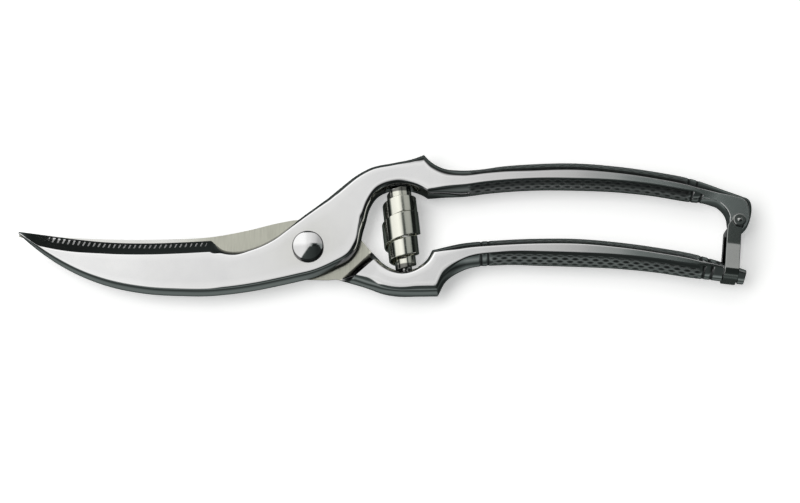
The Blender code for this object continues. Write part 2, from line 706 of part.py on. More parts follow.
def latch_frame():
    """The strap's two directions, and how far below the rivet the handle's underside and the bar lie."""
    lean = math.radians(LATCH_LEAN)
    down = Vector((-math.sin(lean), -math.cos(lean), 0.0))
    side = Vector((math.cos(lean), -math.sin(lean), 0.0))
    under = RIVET_Y - LOWER_HANDLE.point(RIVET_X, 1)[1]
    for _ in range(4):
        under = (LOWER_HANDLE.point(RIVET_X + down.x * under, 1)[1] - RIVET_Y) / down.y
    return down, side, under, under - CATCH_DEPTH + FIT_GAP


def catch_notch():
    """The cutter of the notch in the lower handle's tip where the crossbar lies."""
    down, side, under, bar = latch_frame()
    top, bottom = bar - FIT_GAP, under + CATCH_DEPTH
    wide, deep = STRAP_WIDTH + 2 * FIT_GAP, 4 * CATCH_HALF
    middle = Vector((RIVET_X, RIVET_Y, 0.0)) + down * (top + bottom) / 2
    turn = Matrix((side, down, side.cross(down))).transposed().to_4x4()
    block = bmesh.new()
    bmesh.ops.create_cube(
        block, size=1.0,
        matrix=Matrix.Translation(middle) @ turn @ Matrix.Diagonal((wide, bottom - top, deep, 1.0)))
    return finished("catch_notch", block, None)


def latch_path(bar):
    """The strap's middle line in distance below the rivet and height, from the front end to the back one."""
    half = STRAP_THICKNESS / 2
    top, wide = BOSS_HALF + FIT_GAP + half, CATCH_HALF + STRAP_SLACK + half
    low = bar + half
    bend_start, bend_end = 1.25 * BOSS_RADIUS, 2.0 * BOSS_RADIUS
    leg = [(-0.5 * STRAP_WIDTH * math.cos(a), top) for a in np.linspace(0.0, 0.5 * math.pi, 6)]
    leg[-1] = (0.0, top)
    leg += [(bend_start, top), (bend_end, wide)]
    corner = [
        (low - STRAP_BEND + STRAP_BEND * math.sin(a), wide - STRAP_BEND + STRAP_BEND * math.cos(a))
        for a in np.linspace(0.0, 0.5 * math.pi, 5)
    ]
    front = leg + corner
    return front + [(v, -z) for v, z in front[::-1]]


def latch_stirrup(finish):
    """The bent strap that hooks under the lower handle's tip, about the axis of the rivet it swings on."""
    down, side, _, bar = latch_frame()
    path = latch_path(bar)
    half, thick = STRAP_WIDTH / 2, STRAP_THICKNESS / 2
    mesh = bmesh.new()
    rings = []
    for number, (v, z) in enumerate(path):
        before, after = Vector(path[max(number - 1, 0)]), Vector(path[min(number + 1, len(path) - 1)])
        along = (after - before).normalized()
        outward = Vector((-along.y, along.x))
        reach = half if v >= 0.0 else max(math.sqrt(max(half ** 2 - v ** 2, 0.0)), 0.12 * half)
        corners = []
        for u, t in ((-reach, -thick), (reach, -thick), (reach, thick), (-reach, thick)):
            spot = Vector((v, z)) + outward * t
            corners.append(down * spot.x + side * u + Vector((0.0, 0.0, spot.y)))
        rings.append([mesh.verts.new(p) for p in corners])
    for first, second in zip(rings, rings[1:]):
        for i in range(4):
            j = (i + 1) % 4
            mesh.faces.new((first[i], first[j], second[j], second[i]))
    mesh.faces.new(rings[0][::-1])
    mesh.faces.new(rings[-1])
    return finished("latch_stirrup", mesh, finish)


def latch_rivet(finish):
    """A shank through the boss and the strap, with a round head on each side."""
    shank, head = RIVET_SHANK / 2, RIVET_HEAD / 2
    seat = BOSS_HALF + STRAP_THICKNESS + 2 * FIT_GAP
    upper = [(shank, seat), (head, seat)]
    upper += dome(head, seat + 0.3 * RIVET_HEAD_HEIGHT, 0.7 * RIVET_HEAD_HEIGHT)
    profile = [(radius, -height) for radius, height in upper[::-1]] + upper
    return turned("latch_rivet", profile, finish, 24)


def pivot_set(bolt_finish, plain_finish):
    """The bolt, washer and slotted nut that hold the levers together."""
    shank, head = PIVOT_SHANK / 2, PIVOT_HEAD / 2
    seat = JOINT_HALF + FIT_GAP
    washer_low = -seat - WASHER_THICKNESS
    nut_low = washer_low - FIT_GAP - NUT_THICKNESS
    profile = [(0.0, nut_low + NUT_SLOT_DEPTH + FIT_GAP), (shank, nut_low + NUT_SLOT_DEPTH + FIT_GAP)]
    profile += [(shank, seat), (head, seat)] + dome(head, seat + PIVOT_HEAD_RIM, PIVOT_DOME, 7)
    bolt = turned("pivot_bolt", profile, bolt_finish, 40)
    inner = shank + FIT_GAP
    washer = turned("pivot_washer", [
        (inner, washer_low), (WASHER_OUTER / 2, washer_low), (WASHER_OUTER / 2, -seat), (inner, -seat)],
        plain_finish, 40)
    rim = 0.25 * NUT_THICKNESS
    outer = NUT_DIAMETER / 2
    nut = turned("pivot_nut", [
        (inner, nut_low), (outer - rim, nut_low), (outer, nut_low + rim),
        (outer, nut_low + NUT_THICKNESS), (inner, nut_low + NUT_THICKNESS)], plain_finish, 40)
    slot = bmesh.new()
    bmesh.ops.create_cube(slot, size=1.0, matrix=Matrix.Translation((0.0, 0.0, nut_low)) @ Matrix.Diagonal(
        (1.5 * NUT_DIAMETER, NUT_SLOT_WIDTH, 2.0 * NUT_SLOT_DEPTH, 1.0)))
    cut(nut, finished("nut_slot", slot, None))
    return bolt, washer, nut


def empty(name, place, parent=None):
    """An empty that carries pieces."""
    holder = bpy.data.objects.new(name, None)
    bpy.context.collection.objects.link(holder)
    holder.parent = parent
    holder.location = place
    return holder


def hang(parent, *pieces):
    """Parent pieces, with their cutters, to the empty that carries them."""
    for piece in pieces:
        for thing in [piece] + [modifier.object for modifier in piece.modifiers]:
            thing.parent = parent


def set_origin(root):
    """Move the whole part so that the bottom centre of its box lies on the world's origin."""
    depsgraph = bpy.context.evaluated_depsgraph_get()
    corners = []
    for thing in bpy.data.objects:
        if thing.type != "MESH" or thing.hide_render:
            continue
        shown = thing.evaluated_get(depsgraph)
        mesh = shown.to_mesh()
        flat = np.empty(3 * len(mesh.vertices), dtype=np.float64)
        mesh.vertices.foreach_get("co", flat)
        place = np.array(thing.matrix_world)
        points = flat.reshape(-1, 3) @ place[:3, :3].T + place[:3, 3]
        corners += [points.min(axis=0), points.max(axis=0)]
        shown.to_mesh_clear()
    low, high = np.min(corners, axis=0), np.max(corners, axis=0)
    root.location = (-(low[0] + high[0]) / 2, -(low[1] + high[1]) / 2, -low[2])


def main():
    """Build every piece, hang it on its axis and set the part's origin."""
    for thing in list(bpy.data.objects):
        bpy.data.objects.remove(thing, do_unlink=True)
    chrome = steel("polished_chrome", (0.80, 0.80, 0.81), 0.12)
    bright = steel("bright_plating", (0.76, 0.76, 0.77), 0.2)
    spring_steel = steel("spring_steel", (0.78, 0.77, 0.72), 0.25)
    root = empty("shears_origin", (0.0, 0.0, 0.0))
    pivot = empty("pivot_axis", (0.0, 0.0, 0.0), root)
    latch = empty("latch_axis", (RIVET_X, RIVET_Y, 0.0), root)

    blade_rows = front_blade()
    front_rows = blade_rows + front_joint()
    front_rows += front_bow(front_rows[-1]) + front_handle()
    rear_rows = rear_blade() + rear_joint()
    rear_rows += rear_bow(rear_rows[-1]) + rear_handle()
    front = loft("front_lever", front_rows, chrome, False)
    rear = loft("rear_lever", rear_rows, chrome, True)

    bolt, washer, nut = pivot_set(chrome, bright)
    deep = JOINT_HALF + BOW_HALF
    for lever in (front, rear):
        cut(lever, drill(lever.name + "_bore", PIVOT_SHANK + 2 * FIT_GAP, -deep, deep))
    cut(front, tooth_comb(rail(blade_rows, "edge"), blade_rows))
    cut(rear, catch_notch())

    upper, lower = seats()
    axis = (lower - upper).normalized()
    spring = volute_spring(spring_steel)
    upper_stud = spring_stud("upper_spring_stud", upper, axis, front, bright)
    lower_stud = spring_stud("lower_spring_stud", lower, -axis, rear, bright)

    stirrup, rivet = latch_stirrup(chrome), latch_rivet(bright)
    hole, reach = RIVET_SHANK + 2 * FIT_GAP, BOSS_HALF + 4 * STRAP_THICKNESS
    boss_hole, strap_hole = drill("boss_hole", hole, -reach, reach), drill("strap_hole", hole, -reach, reach)
    for piece in (rivet, boss_hole):
        piece.data.transform(Matrix.Translation((RIVET_X, RIVET_Y, 0.0)))
    cut(front, boss_hole)
    cut(stirrup, strap_hole)

    hang(root, front, bolt, washer, nut, spring, upper_stud, rivet)
    hang(pivot, rear, lower_stud)
    hang(latch, stirrup)
    bpy.context.view_layer.update()
    set_origin(root)
    bpy.context.view_layer.update()
    print("pivot axis at", tuple(round(v, 6) for v in pivot.matrix_world.translation))
    print("latch axis at", tuple(round(v, 6) for v in latch.matrix_world.translation))


main()
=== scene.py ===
"""Looks of the poultry shears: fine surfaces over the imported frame, their finishes, a studio and a camera.

The sizes repeat the part's own, in metres about the pivot axis, with height 0 where the two levers meet.
"""

import json
import logging
import math
from dataclasses import dataclass, replace
from enum import Enum

import bpy
import numpy as np
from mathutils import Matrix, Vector


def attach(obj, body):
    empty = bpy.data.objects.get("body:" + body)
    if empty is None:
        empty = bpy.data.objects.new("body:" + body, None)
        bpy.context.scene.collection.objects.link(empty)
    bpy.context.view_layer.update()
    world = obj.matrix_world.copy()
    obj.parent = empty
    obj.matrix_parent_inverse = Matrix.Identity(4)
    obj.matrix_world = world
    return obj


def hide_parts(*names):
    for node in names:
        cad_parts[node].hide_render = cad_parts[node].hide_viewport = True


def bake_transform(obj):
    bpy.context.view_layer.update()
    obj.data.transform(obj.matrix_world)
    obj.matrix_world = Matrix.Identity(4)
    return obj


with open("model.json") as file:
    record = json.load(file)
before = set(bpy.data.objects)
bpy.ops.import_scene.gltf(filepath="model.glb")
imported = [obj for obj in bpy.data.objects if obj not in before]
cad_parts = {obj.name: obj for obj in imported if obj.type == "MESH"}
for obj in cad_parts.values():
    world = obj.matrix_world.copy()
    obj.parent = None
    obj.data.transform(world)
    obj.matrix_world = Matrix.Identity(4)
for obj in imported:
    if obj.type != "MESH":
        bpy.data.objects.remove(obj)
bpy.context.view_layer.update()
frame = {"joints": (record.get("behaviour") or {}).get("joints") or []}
LOG = logging.getLogger("poultry_shears")

Number = float | np.ndarray
Point = tuple[float, float]
Triple = tuple[float, float, float]
Colour = tuple[float, float, float]
Stops = tuple[tuple[float, float], ...]
Marks = dict[str, np.ndarray]
Piece = bpy.types.Object
Socket = bpy.types.NodeSocket
Span = tuple[float, float, float, float]  # a soft step: its two ends, and the values there

FRONT_BODY, REAR_BODY, LATCH_BODY = "front body", "rear body", "latch body"
UPWARD = np.array([0.0, 0.0, 1.0])
POLE = 1e-6  # radius of the ring that closes a turned piece on its axis
LEAST_SPAN = 1e-6  # least distance that is taken between two stations


class Side(Enum):
    """The two sides of a lever in plan."""

    EDGE = "edge"
    BACK = "back"


class Grain(Enum):
    """How a metal surface was finished."""

    POLISHED = "polished"
    ROLLED = "rolled"
    STAMPED = "stamped"


@dataclass(frozen=True)
class Station:
    """One cross-section of a lever, from its cutting or outer edge to its spine or inner back.

    half is the height of the front face, and full is 0 where the lever is halved and 1 where it is whole.
    Of each side, draft is how far the face stands in, land is the rounding at its foot, fullness is how
    round it is, the painted shade and the rim are how much shade is painted on the side and along its
    crease, clear is the share of it under the crease that stays free of that shade, and dim is the share
    of the way up it above which shade is painted on it. deep is the height of the far face over half,
    crease is the rounding between faces and sides, pace is the distance between rings after the station,
    and corner is the side, if any, whose outline breaks there.
    """

    edge: Point
    back: Point
    half: float
    full: float = 0.0
    edge_draft: float = 0.0020
    back_draft: float = 0.0020
    edge_land: float = 0.0004
    back_land: float = 0.0004
    edge_fullness: float = 0.45
    back_fullness: float = 0.45
    # How much shade is painted on each side.
    edge_painted_shade: float = 0.0
    back_painted_shade: float = 0.0
    # How much shade is painted along each side's crease.
    edge_rim: float = 0.0
    back_rim: float = 0.0
    # Share of each side under its crease that is left without painted shade.
    edge_clear: float = 0.06
    back_clear: float = 0.06
    # Share of the way up each side above which shade is painted on it.
    edge_dim: float = 0.78
    back_dim: float = 0.78
    deep: float = 1.0
    crease: float = 0.00035
    pace: float = 0.0009
    corner: Side | None = None


def mix(start: Number, end: Number, share: Number) -> Number:
    """The value at a share of the way from start to end."""
    return start + (end - start) * share


def between(start: Point, end: Point, share: float) -> Point:
    """The point at a share of the way from start to end."""
    return mix(start[0], end[0], share), mix(start[1], end[1], share)


def polar(centre: Point, radius: float, degrees: float) -> Point:
    """A point at a radius and an angle about a centre."""
    angle = math.radians(degrees)
    return centre[0] + radius * math.cos(angle), centre[1] + radius * math.sin(angle)


def read(x: float, knots: list[Point]) -> float:
    """The value at x on straight lines between knots."""
    return float(np.interp(x, *zip(*knots)))


def smoothstep(low: float, high: float, values: np.ndarray) -> np.ndarray:
    """A soft step from 0 at low to 1 at high."""
    share = np.clip((values - low) / (high - low), 0.0, 1.0)
    return share * share * (3.0 - 2.0 * share)


def hermite(start: np.ndarray, end: np.ndarray, leaving: np.ndarray, arriving: np.ndarray,
            span: np.ndarray, share: np.ndarray) -> np.ndarray:
    """A cubic over a span, from start to end, that leaves and arrives with given slopes."""
    square, cube = share ** 2, share ** 3
    return ((2 * cube - 3 * square + 1) * start + (cube - 2 * square + share) * span * leaving
            + (3 * square - 2 * cube) * end + (cube - square) * span * arriving)


@dataclass(frozen=True)
class JointSizes:
    """Sizes that the levers, the spring and the latch share."""

    pivot: Point = (0.0, 0.0)
    radius: float = 0.0102
    half: float = 0.0034
    lap_gap: float = 0.0003
    fit_gap: float = 0.0003
    step_slope: float = 0.0027
    draft: float = 0.0018
    fullness: float = 0.3
    blade_length: float = 0.0985
    blade_crease: float = 0.00012
    tip_rise: float = 0.0056
    tip_width: float = 0.0007
    tip_thickness: float = 0.0012
    edge_land: float = 0.0002
    spine_draft: float = 0.0016
    spine_share: float = 0.2
    heel_distance: float = 0.0330
    bow: Point = (0.0315, 0.0063)
    bow_half: float = 0.0038
    bow_draft: float = 0.0020
    upper_bow_radius: float = 0.0157
    upper_bow_wall: float = 0.0100
    lower_bow_radius: float = 0.0140
    lower_bow_wall: float = 0.0088
    upper_seat: float = 96.0
    lower_seat: float = -84.0
    boss_radius: float = 0.0042
    boss_half: float = 0.0032
    catch_half: float = 0.0030

    def seats(self) -> tuple[np.ndarray, np.ndarray]:
        """The upper and the lower place on the bows where the spring stands."""
        seats = ((self.upper_bow_radius, self.upper_seat), (self.lower_bow_radius, self.lower_seat))
        return tuple(np.array([*polar(self.bow, *seat), 0.0]) for seat in seats)

    def blade_half(self, share: float, rate: float, power: float) -> float:
        """A blade's thickness at a share of its length: it grows with a power of the share."""
        return mix(self.tip_thickness, self.half, min(1.0, rate * share) ** power)


@dataclass(frozen=True)
class HandleSizes:
    """A handle's plan: a centre line on an arc, with a width that swells and narrows along it.

    As shares of the handle's length, it is level over level, its sides grow softer over softening, and the
    shade painted along its rims changes from one amount to another over dimming. opening pairs such shares
    with how far the outer draft has come.
    """

    crown: Point
    arc: float
    up: float
    start: float = 0.0520
    neck: float = 0.1310
    waist: float = 0.0089
    swell: float = 0.0098
    neck_width: float = 0.0082
    half: float = 0.0038
    back_half: float = 0.0047
    start_draft: float = 0.0024
    outer_draft: float = 0.0037
    inner_draft: float = 0.0030
    level: Point = (0.16, 0.60)
    opening: Stops = ((0.0, 0.0), (0.10, 0.3), (0.28, 1.0))
    softening: Point = (0.40, 1.0)
    dimming: Point = (0.50, 0.85)
    start_fullness: float = 0.3
    edge_soft: float = 0.25
    back_soft: float = 0.75
    # Shade painted along each side's crease, at the two ends of dimming.
    edge_rim: Point = (0.9, 0.95)
    back_rim: Point = (0.0, 0.0)
    # Shade painted on the inner side at the handle's start and along the rest of it.
    start_painted_shade: float = 0.5
    back_painted_shade: float = 0.45
    # Shares of the way up each side above which shade is painted.
    edge_dim: float = 0.68
    back_dim: float = 0.44
    crease: float = 0.0002
    pace: float = 0.0004
    tip: Stops = ()

    def along(self, share: float) -> float:
        """The distance from the pivot at a share of the handle's length."""
        return mix(self.start, self.neck, share)

    def width(self, x: float) -> float:
        """The handle's width at a distance from the pivot."""
        middle = (self.along(0.5), self.swell)
        return read(x, [(self.start, self.waist), middle, (self.neck, self.neck_width), *self.tip])

    def point(self, x: float, side: float) -> Point:
        """A point of the outline, half a width off the centre line and square to it.

        Args:
            x: distance from the pivot.
            side: 1 for the outer edge, -1 for the inner one and 0 for the centre line.

        Returns:
            The point in plan.
        """
        tilt = math.asin((x - self.crown[0]) / self.arc)
        reach = 0.5 * self.width(x) * side * self.up
        level = self.crown[1] - self.arc * (1.0 - math.cos(tilt))
        return x + reach * math.sin(tilt), level + reach * math.cos(tilt)

    def stations(self, places: list[float], ends: list[Point]) -> list[Station]:
        """Cross-sections along the handle.

        Args:
            places: distances from the pivot.
            ends: distance and half thickness at the handle's neck and beyond.

        Returns:
            One station for each place.
        """
        first, last = (self.along(share) for share in self.level)
        softening = [self.along(share) for share in self.softening]
        dimming = [self.along(share) for share in self.dimming]
        halves = [(self.start, JOINT.bow_half), (first, self.half), (last, self.half), *ends]
        drafts = [(self.along(share), mix(self.start_draft, self.outer_draft, opened))
                  for share, opened in self.opening]
        deep = self.back_half / self.half
        depths = [(self.start, 1.0), (first, deep), (last, deep), (self.neck, 1.0)]
        return [
            Station(self.point(x, 1), self.point(x, -1), read(x, halves), 1.0,
                    edge_draft=read(x, drafts), back_draft=self.inner_draft,
                    edge_fullness=read(x, [*zip(softening, (self.start_fullness, self.edge_soft))]),
                    back_fullness=read(x, [*zip(softening, (self.start_fullness, self.back_soft))]),
                    back_painted_shade=read(x, [(self.start, self.start_painted_shade), (first, self.back_painted_shade)]),
                    edge_rim=read(x, [*zip(dimming, self.edge_rim)]),
                    back_rim=read(x, [*zip(dimming, self.back_rim)]),
                    edge_dim=self.edge_dim, back_dim=self.back_dim, deep=read(x, depths),
                    crease=self.crease, pace=self.pace)
            for x in places
        ]


JOINT = JointSizes()
RIVET_REACH, RIVET_DROP = 0.0149, 0.0124
CATCH_REACH, CATCH_WIDTH = 0.0011, 0.0052
UPPER_HANDLE = HandleSizes((0.0860, 0.0266), 0.2000, 1.0)
RIVET: Point = (
    UPPER_HANDLE.neck + RIVET_REACH, UPPER_HANDLE.point(UPPER_HANDLE.neck, 0)[1] - RIVET_DROP)
RIVET_SPOT = np.array([*RIVET, 0.0])
CATCH_X = RIVET[0] + CATCH_REACH
LOWER_HANDLE = HandleSizes(
    (0.0800, -0.0008), 0.2560, -1.0, start_draft=0.0028, edge_soft=0.65, back_soft=0.25,
    edge_rim=(0.7, 0.4), back_rim=(0.0, 0.5), back_painted_shade=0.0, edge_dim=0.78, back_dim=0.78,
    tip=((CATCH_X, CATCH_WIDTH),))


def pivot_place() -> np.ndarray:
    """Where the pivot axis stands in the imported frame."""
    joint = next(j for j in frame["joints"] if j["name"] == "blade_pivot")
    return np.array(joint["pos_m"], float)


PLACE = pivot_place()


def skinned(name: str, rings: np.ndarray, marks: Marks | None = None,
            closed: bool = False) -> Piece:
    """A closed piece skinned over a grid of rings, with fans over its ends.

    Args:
        name: the piece's name.
        rings: points about the pivot, in rows of closed rings, shape (rows, columns, 3).
        marks: values for each point, shape (rows, columns), kept as attributes for the finishes.
        closed: whether the last ring joins the first, so that no ends are needed.

    Returns:
        The piece, at the origin, with its faces outward.
    """
    rows, columns = rings.shape[:2]
    index = np.arange(rows * columns).reshape(rows, columns)
    beside = np.roll(index, -1, axis=1)
    first, first_beside = (index, beside) if closed else (index[:-1], beside[:-1])
    second, second_beside = (
        np.roll(grid, -1, axis=0) if closed else grid[1:] for grid in (index, beside))
    quads = np.stack([first, first_beside, second_beside, second], axis=-1).reshape(-1, 4)
    points = rings.reshape(-1, 3)
    fans = np.empty((0, 3), dtype=int)
    if not closed:
        points = np.vstack([points, rings[0].mean(axis=0), rings[-1].mean(axis=0)])
        start, end = np.full(columns, rows * columns), np.full(columns, rows * columns + 1)
        fans = np.vstack([
            np.stack([start, beside[0], index[0]], axis=1), np.stack([end, index[-1], beside[-1]], axis=1)])
    triangles = np.vstack([quads[:, [0, 1, 2]], quads[:, [0, 2, 3]], fans])
    a, b, c = (points[triangles[:, i]] for i in range(3))
    if np.einsum("ij,ij->i", a, np.cross(b, c)).sum() < 0.0:
        quads, fans = quads[:, ::-1], fans[:, ::-1]
    mesh = bpy.data.meshes.new(name)
    mesh.vertices.add(len(points))
    mesh.vertices.foreach_set("co", (points + PLACE).astype(np.float32).ravel())
    corners = np.concatenate([quads.ravel(), fans.ravel()])
    mesh.loops.add(len(corners))
    mesh.loops.foreach_set("vertex_index", corners.astype(np.int32))
    starts = np.concatenate([4 * np.arange(len(quads)), 4 * len(quads) + 3 * np.arange(len(fans))])
    mesh.polygons.add(len(starts))
    mesh.polygons.foreach_set("loop_start", starts.astype(np.int32))
    mesh.update(calc_edges=True)
    mesh.validate()
    for mark, values in (marks or {}).items():
        flat = np.concatenate([values.ravel(), np.zeros(len(points) - values.size)])
        mesh.attributes.new(mark, "FLOAT", "POINT").data.foreach_set("value", flat.astype(np.float32))
    piece = bpy.data.objects.new(name, mesh)
    bpy.context.scene.collection.objects.link(piece)
    shade(piece)
    return piece


def shade(piece: Piece, degrees: float = 38.0) -> None:
    """Smooth a piece's faces, but for edges sharper than an angle."""
    piece.data.shade_smooth()
    piece.data.set_sharp_from_angle(angle=math.radians(degrees))


def carve(piece: Piece, cutters: list[Piece]) -> None:
    """Take closed cutters away from a piece, for good.

    Args:
        piece: the piece.
        cutters: what is taken away from it, in order. They are removed.
    """
    for cutter in cutters:
        difference = piece.modifiers.new(cutter.name, "BOOLEAN")
        difference.operation, difference.solver, difference.object = "DIFFERENCE", "MANIFOLD", cutter
        ready = piece.evaluated_get(bpy.context.evaluated_depsgraph_get())
        mesh = bpy.data.meshes.new_from_object(ready)
        piece.modifiers.clear()
        old, piece.data = piece.data, mesh
        mesh.name = piece.name
        bpy.data.meshes.remove(old)
        bpy.data.objects.remove(cutter)
    shade(piece)


def bar(name: str, middle: np.ndarray, axes: np.ndarray, sizes: np.ndarray) -> Piece:
    """A block used as a cutter: a square ring at each end.

    Args:
        name: its name.
        middle: its centre.
        axes: its three directions, one in each row.
        sizes: its size along each.

    Returns:
        The block.
    """
    square = np.array([[-1.0, -1.0], [1.0, -1.0], [1.0, 1.0], [-1.0, 1.0]])
    offsets = np.stack([np.hstack([square, np.full((4, 1), end)]) for end in (-1.0, 1.0)])
    return skinned(name, middle + 0.5 * offsets * sizes @ axes)


def round_section(width: np.ndarray, height: np.ndarray, radius: np.ndarray, arc: int = 4) -> np.ndarray:
    """A rectangle with round corners, as offsets across and through: four quarter circles joined by lines.

    A point on the line just before and after each quarter circle keeps the sides between them flat.

    Args:
        width: full widths, shape (rows,).
        height: full thicknesses, shape (rows,).
        radius: corner radii, shape (rows,).
        arc: points in each quarter circle.

    Returns:
        Offsets of shape (rows, 4 * arc + 8, 2).
    """
    margin = 0.4
    quarter = np.concatenate([[0.0], np.linspace(0.0, 0.5 * math.pi, arc), [0.5 * math.pi]])
    angle = (quarter[None, :] + 0.5 * math.pi * np.arange(4)[:, None]).ravel()
    beside = np.tile(np.concatenate([[-margin], np.zeros(arc), [margin]]), 4)
    sign_x = np.repeat([1.0, -1.0, -1.0, 1.0], arc + 2)
    sign_y = np.repeat([1.0, 1.0, -1.0, -1.0], arc + 2)
    corner = radius[:, None]
    across = sign_x * (width[:, None] / 2 - corner) + corner * (np.cos(angle) - beside * np.sin(angle))
    through = sign_y * (height[:, None] / 2 - corner) + corner * (np.sin(angle) + beside * np.cos(angle))
    return np.stack([across, through], axis=2)


def turned_rings(profile: list[Point], axis: np.ndarray, place: np.ndarray, sides: int = 96) -> np.ndarray:
    """A profile of radius and height carried round an axis.

    Each point is its height along the axis and its radius times (cos a, sin a) beside it.

    Args:
        profile: radius and height pairs from one end to the other.
        axis: the direction of height.
        place: the point at height 0.
        sides: points in each ring.

    Returns:
        Rings of shape (profile points, sides, 3).
    """
    radius, height = np.array(profile, float).T
    along = axis / np.linalg.norm(axis)
    beside = np.cross(along, [1.0, 0.0, 0.0] if abs(along[0]) < 0.9 else [0.0, 1.0, 0.0])
    beside /= np.linalg.norm(beside)
    third = np.cross(along, beside)
    angle = np.linspace(0.0, 2.0 * math.pi, sides, endpoint=False)
    circle = np.cos(angle)[:, None] * beside + np.sin(angle)[:, None] * third
    return place + height[:, None, None] * along + radius[:, None, None] * circle[None, :, :]


def arc_profile(centre: Point, radius: float, start: float, end: float, count: int = 6) -> list[Point]:
    """Points of a circular arc in a profile, from one angle to another."""
    return [polar(centre, radius, angle) for angle in np.linspace(start, end, count)]


def dome_profile(radius: float, base: float, height: float, rim: float, count: int = 22) -> list[Point]:
    """A ball cap on a rounded rim: the cap's ball has the radius (r * r + h * h) / 2h.

    Args:
        radius: radius of the head.
        base: height where the cap starts.
        height: rise of the cap.
        rim: radius of the rounding between the side and the cap.
        count: points over the cap.

    Returns:
        Profile points from the side up to the crown.
    """
    inner = radius - rim
    ball = (inner * inner + height * height) / (2.0 * height)
    lean = math.degrees(math.asin(inner / ball))
    points = arc_profile((inner, base - rim), rim, 0.0, 90.0 - lean, 5)
    lift = points[-1][1] - base
    start = math.asin(min(1.0, points[-1][0] / ball))
    cap = [
        (ball * math.sin(angle), base + lift + ball * (math.cos(angle) - math.cos(start)))
        for angle in np.linspace(start, 0.0, count)[1:]
    ]
    cap[-1] = (POLE, cap[-1][1])
    return points + cap


class NodeBench:
    """A node tree, with short ways to add and join nodes."""

    def __init__(self, tree: bpy.types.NodeTree) -> None:
        """Take over a node tree."""
        self.nodes, self.links = tree.nodes, tree.links

    def feed(self, socket: Socket, value: object) -> None:
        """Join an input socket to an output, or set its value."""
        if isinstance(value, Socket):
            self.links.new(value, socket)
        else:
            socket.default_value = value

    def add(self, kind: str, settings: dict | None = None, **inputs: object) -> bpy.types.Node:
        """Add a node.

        Args:
            kind: the node's type.
            settings: its own properties.
            inputs: values or sockets for its inputs, by name with _ for a space, or by number after an i.

        Returns:
            The node.
        """
        node = self.nodes.new(kind)
        for key, value in (settings or {}).items():
            setattr(node, key, value)
        for key, value in inputs.items():
            numbered = key[0] == "i" and key[1:].isdigit()
            self.feed(node.inputs[int(key[1:]) if numbered else key.replace("_", " ")], value)
        return node

    def mark(self, name: str) -> Socket:
        """A value that the mesh keeps for each point."""
        return self.add("ShaderNodeAttribute", {"attribute_name": name}).outputs["Fac"]

    def noise(self, spot: object, scale: float, detail: float, roughness: float) -> Socket:
        """Soft noise at a spot."""
        return self.add("ShaderNodeTexNoise", Vector=spot, Scale=scale, Detail=detail,
                        Roughness=roughness).outputs["Fac"]

    def stretched(self, spot: object, scale: Triple, turn: float = 0.0) -> Socket:
        """A spot turned about the upright and stretched along its axes."""
        return self.add("ShaderNodeMapping", Vector=spot, Scale=scale, Rotation=(0.0, 0.0, turn)).outputs[0]

    def math(self, operation: str, first: object, second: object = 0.0) -> Socket:
        """The result of an operation on two values."""
        return self.add("ShaderNodeMath", {"operation": operation}, i0=first, i1=second).outputs[0]

    def times(self, first: object, second: object) -> Socket:
        """The product of two values."""
        return self.math("MULTIPLY", first, second)

    def span(self, value: object, low: float, high: float, start: float, end: float) -> Socket:
        """A soft step from start at low to end at high."""
        return self.add("ShaderNodeMapRange", {"interpolation_type": "SMOOTHSTEP"}, Value=value,
                        From_Min=low, From_Max=high, To_Min=start, To_Max=end).outputs[0]

    def ramp(self, value: object, stops: Stops) -> Socket:
        """A level on lines between stops.

        Args:
            value: a share from 0 to 1.
            stops: places from -1 to 1, each with its level.

        Returns:
            The level.
        """
        node = self.add("ShaderNodeValToRGB", i0=value)
        elements = node.color_ramp.elements
        while len(elements) < len(stops):
            elements.new(0.5)
        for element, (place, level) in zip(elements, stops):
            element.position, element.color = 0.5 + 0.5 * place, (level, level, level, 1.0)
        return node.outputs["Color"]

    def share(self, value: object) -> Socket:
        """A value from -1 to 1 as a share from 0 to 1."""
        return self.math("ADD", self.times(value, 0.5), 0.5)

    def blend(self, share: object, first: object, second: object) -> Socket:
        """A colour between two colours.

        Args:
            share: how much of the second.
            first: a colour, plain or joined.
            second: the other.

        Returns:
            The colour between them.
        """
        node = self.add("ShaderNodeMix", {"data_type": "RGBA"})
        for index, value in zip((0, 6, 7), (share, first, second)):
            plain = isinstance(value, tuple) and len(value) == 3
            self.feed(node.inputs[index], (*value, 1.0) if plain else value)
        return node.outputs[2]


GRIND_STRETCH: Triple = (2600.0, 160.0, 160.0)
POLISH_STRETCH: Triple = (900.0, 5200.0, 900.0)
STAMP_STRETCH: Triple = (1500.0, 1500.0, 1500.0)
ROLL_STRETCH: Point = (40.0, 6000.0)
GRAIN_TURN = 0.42


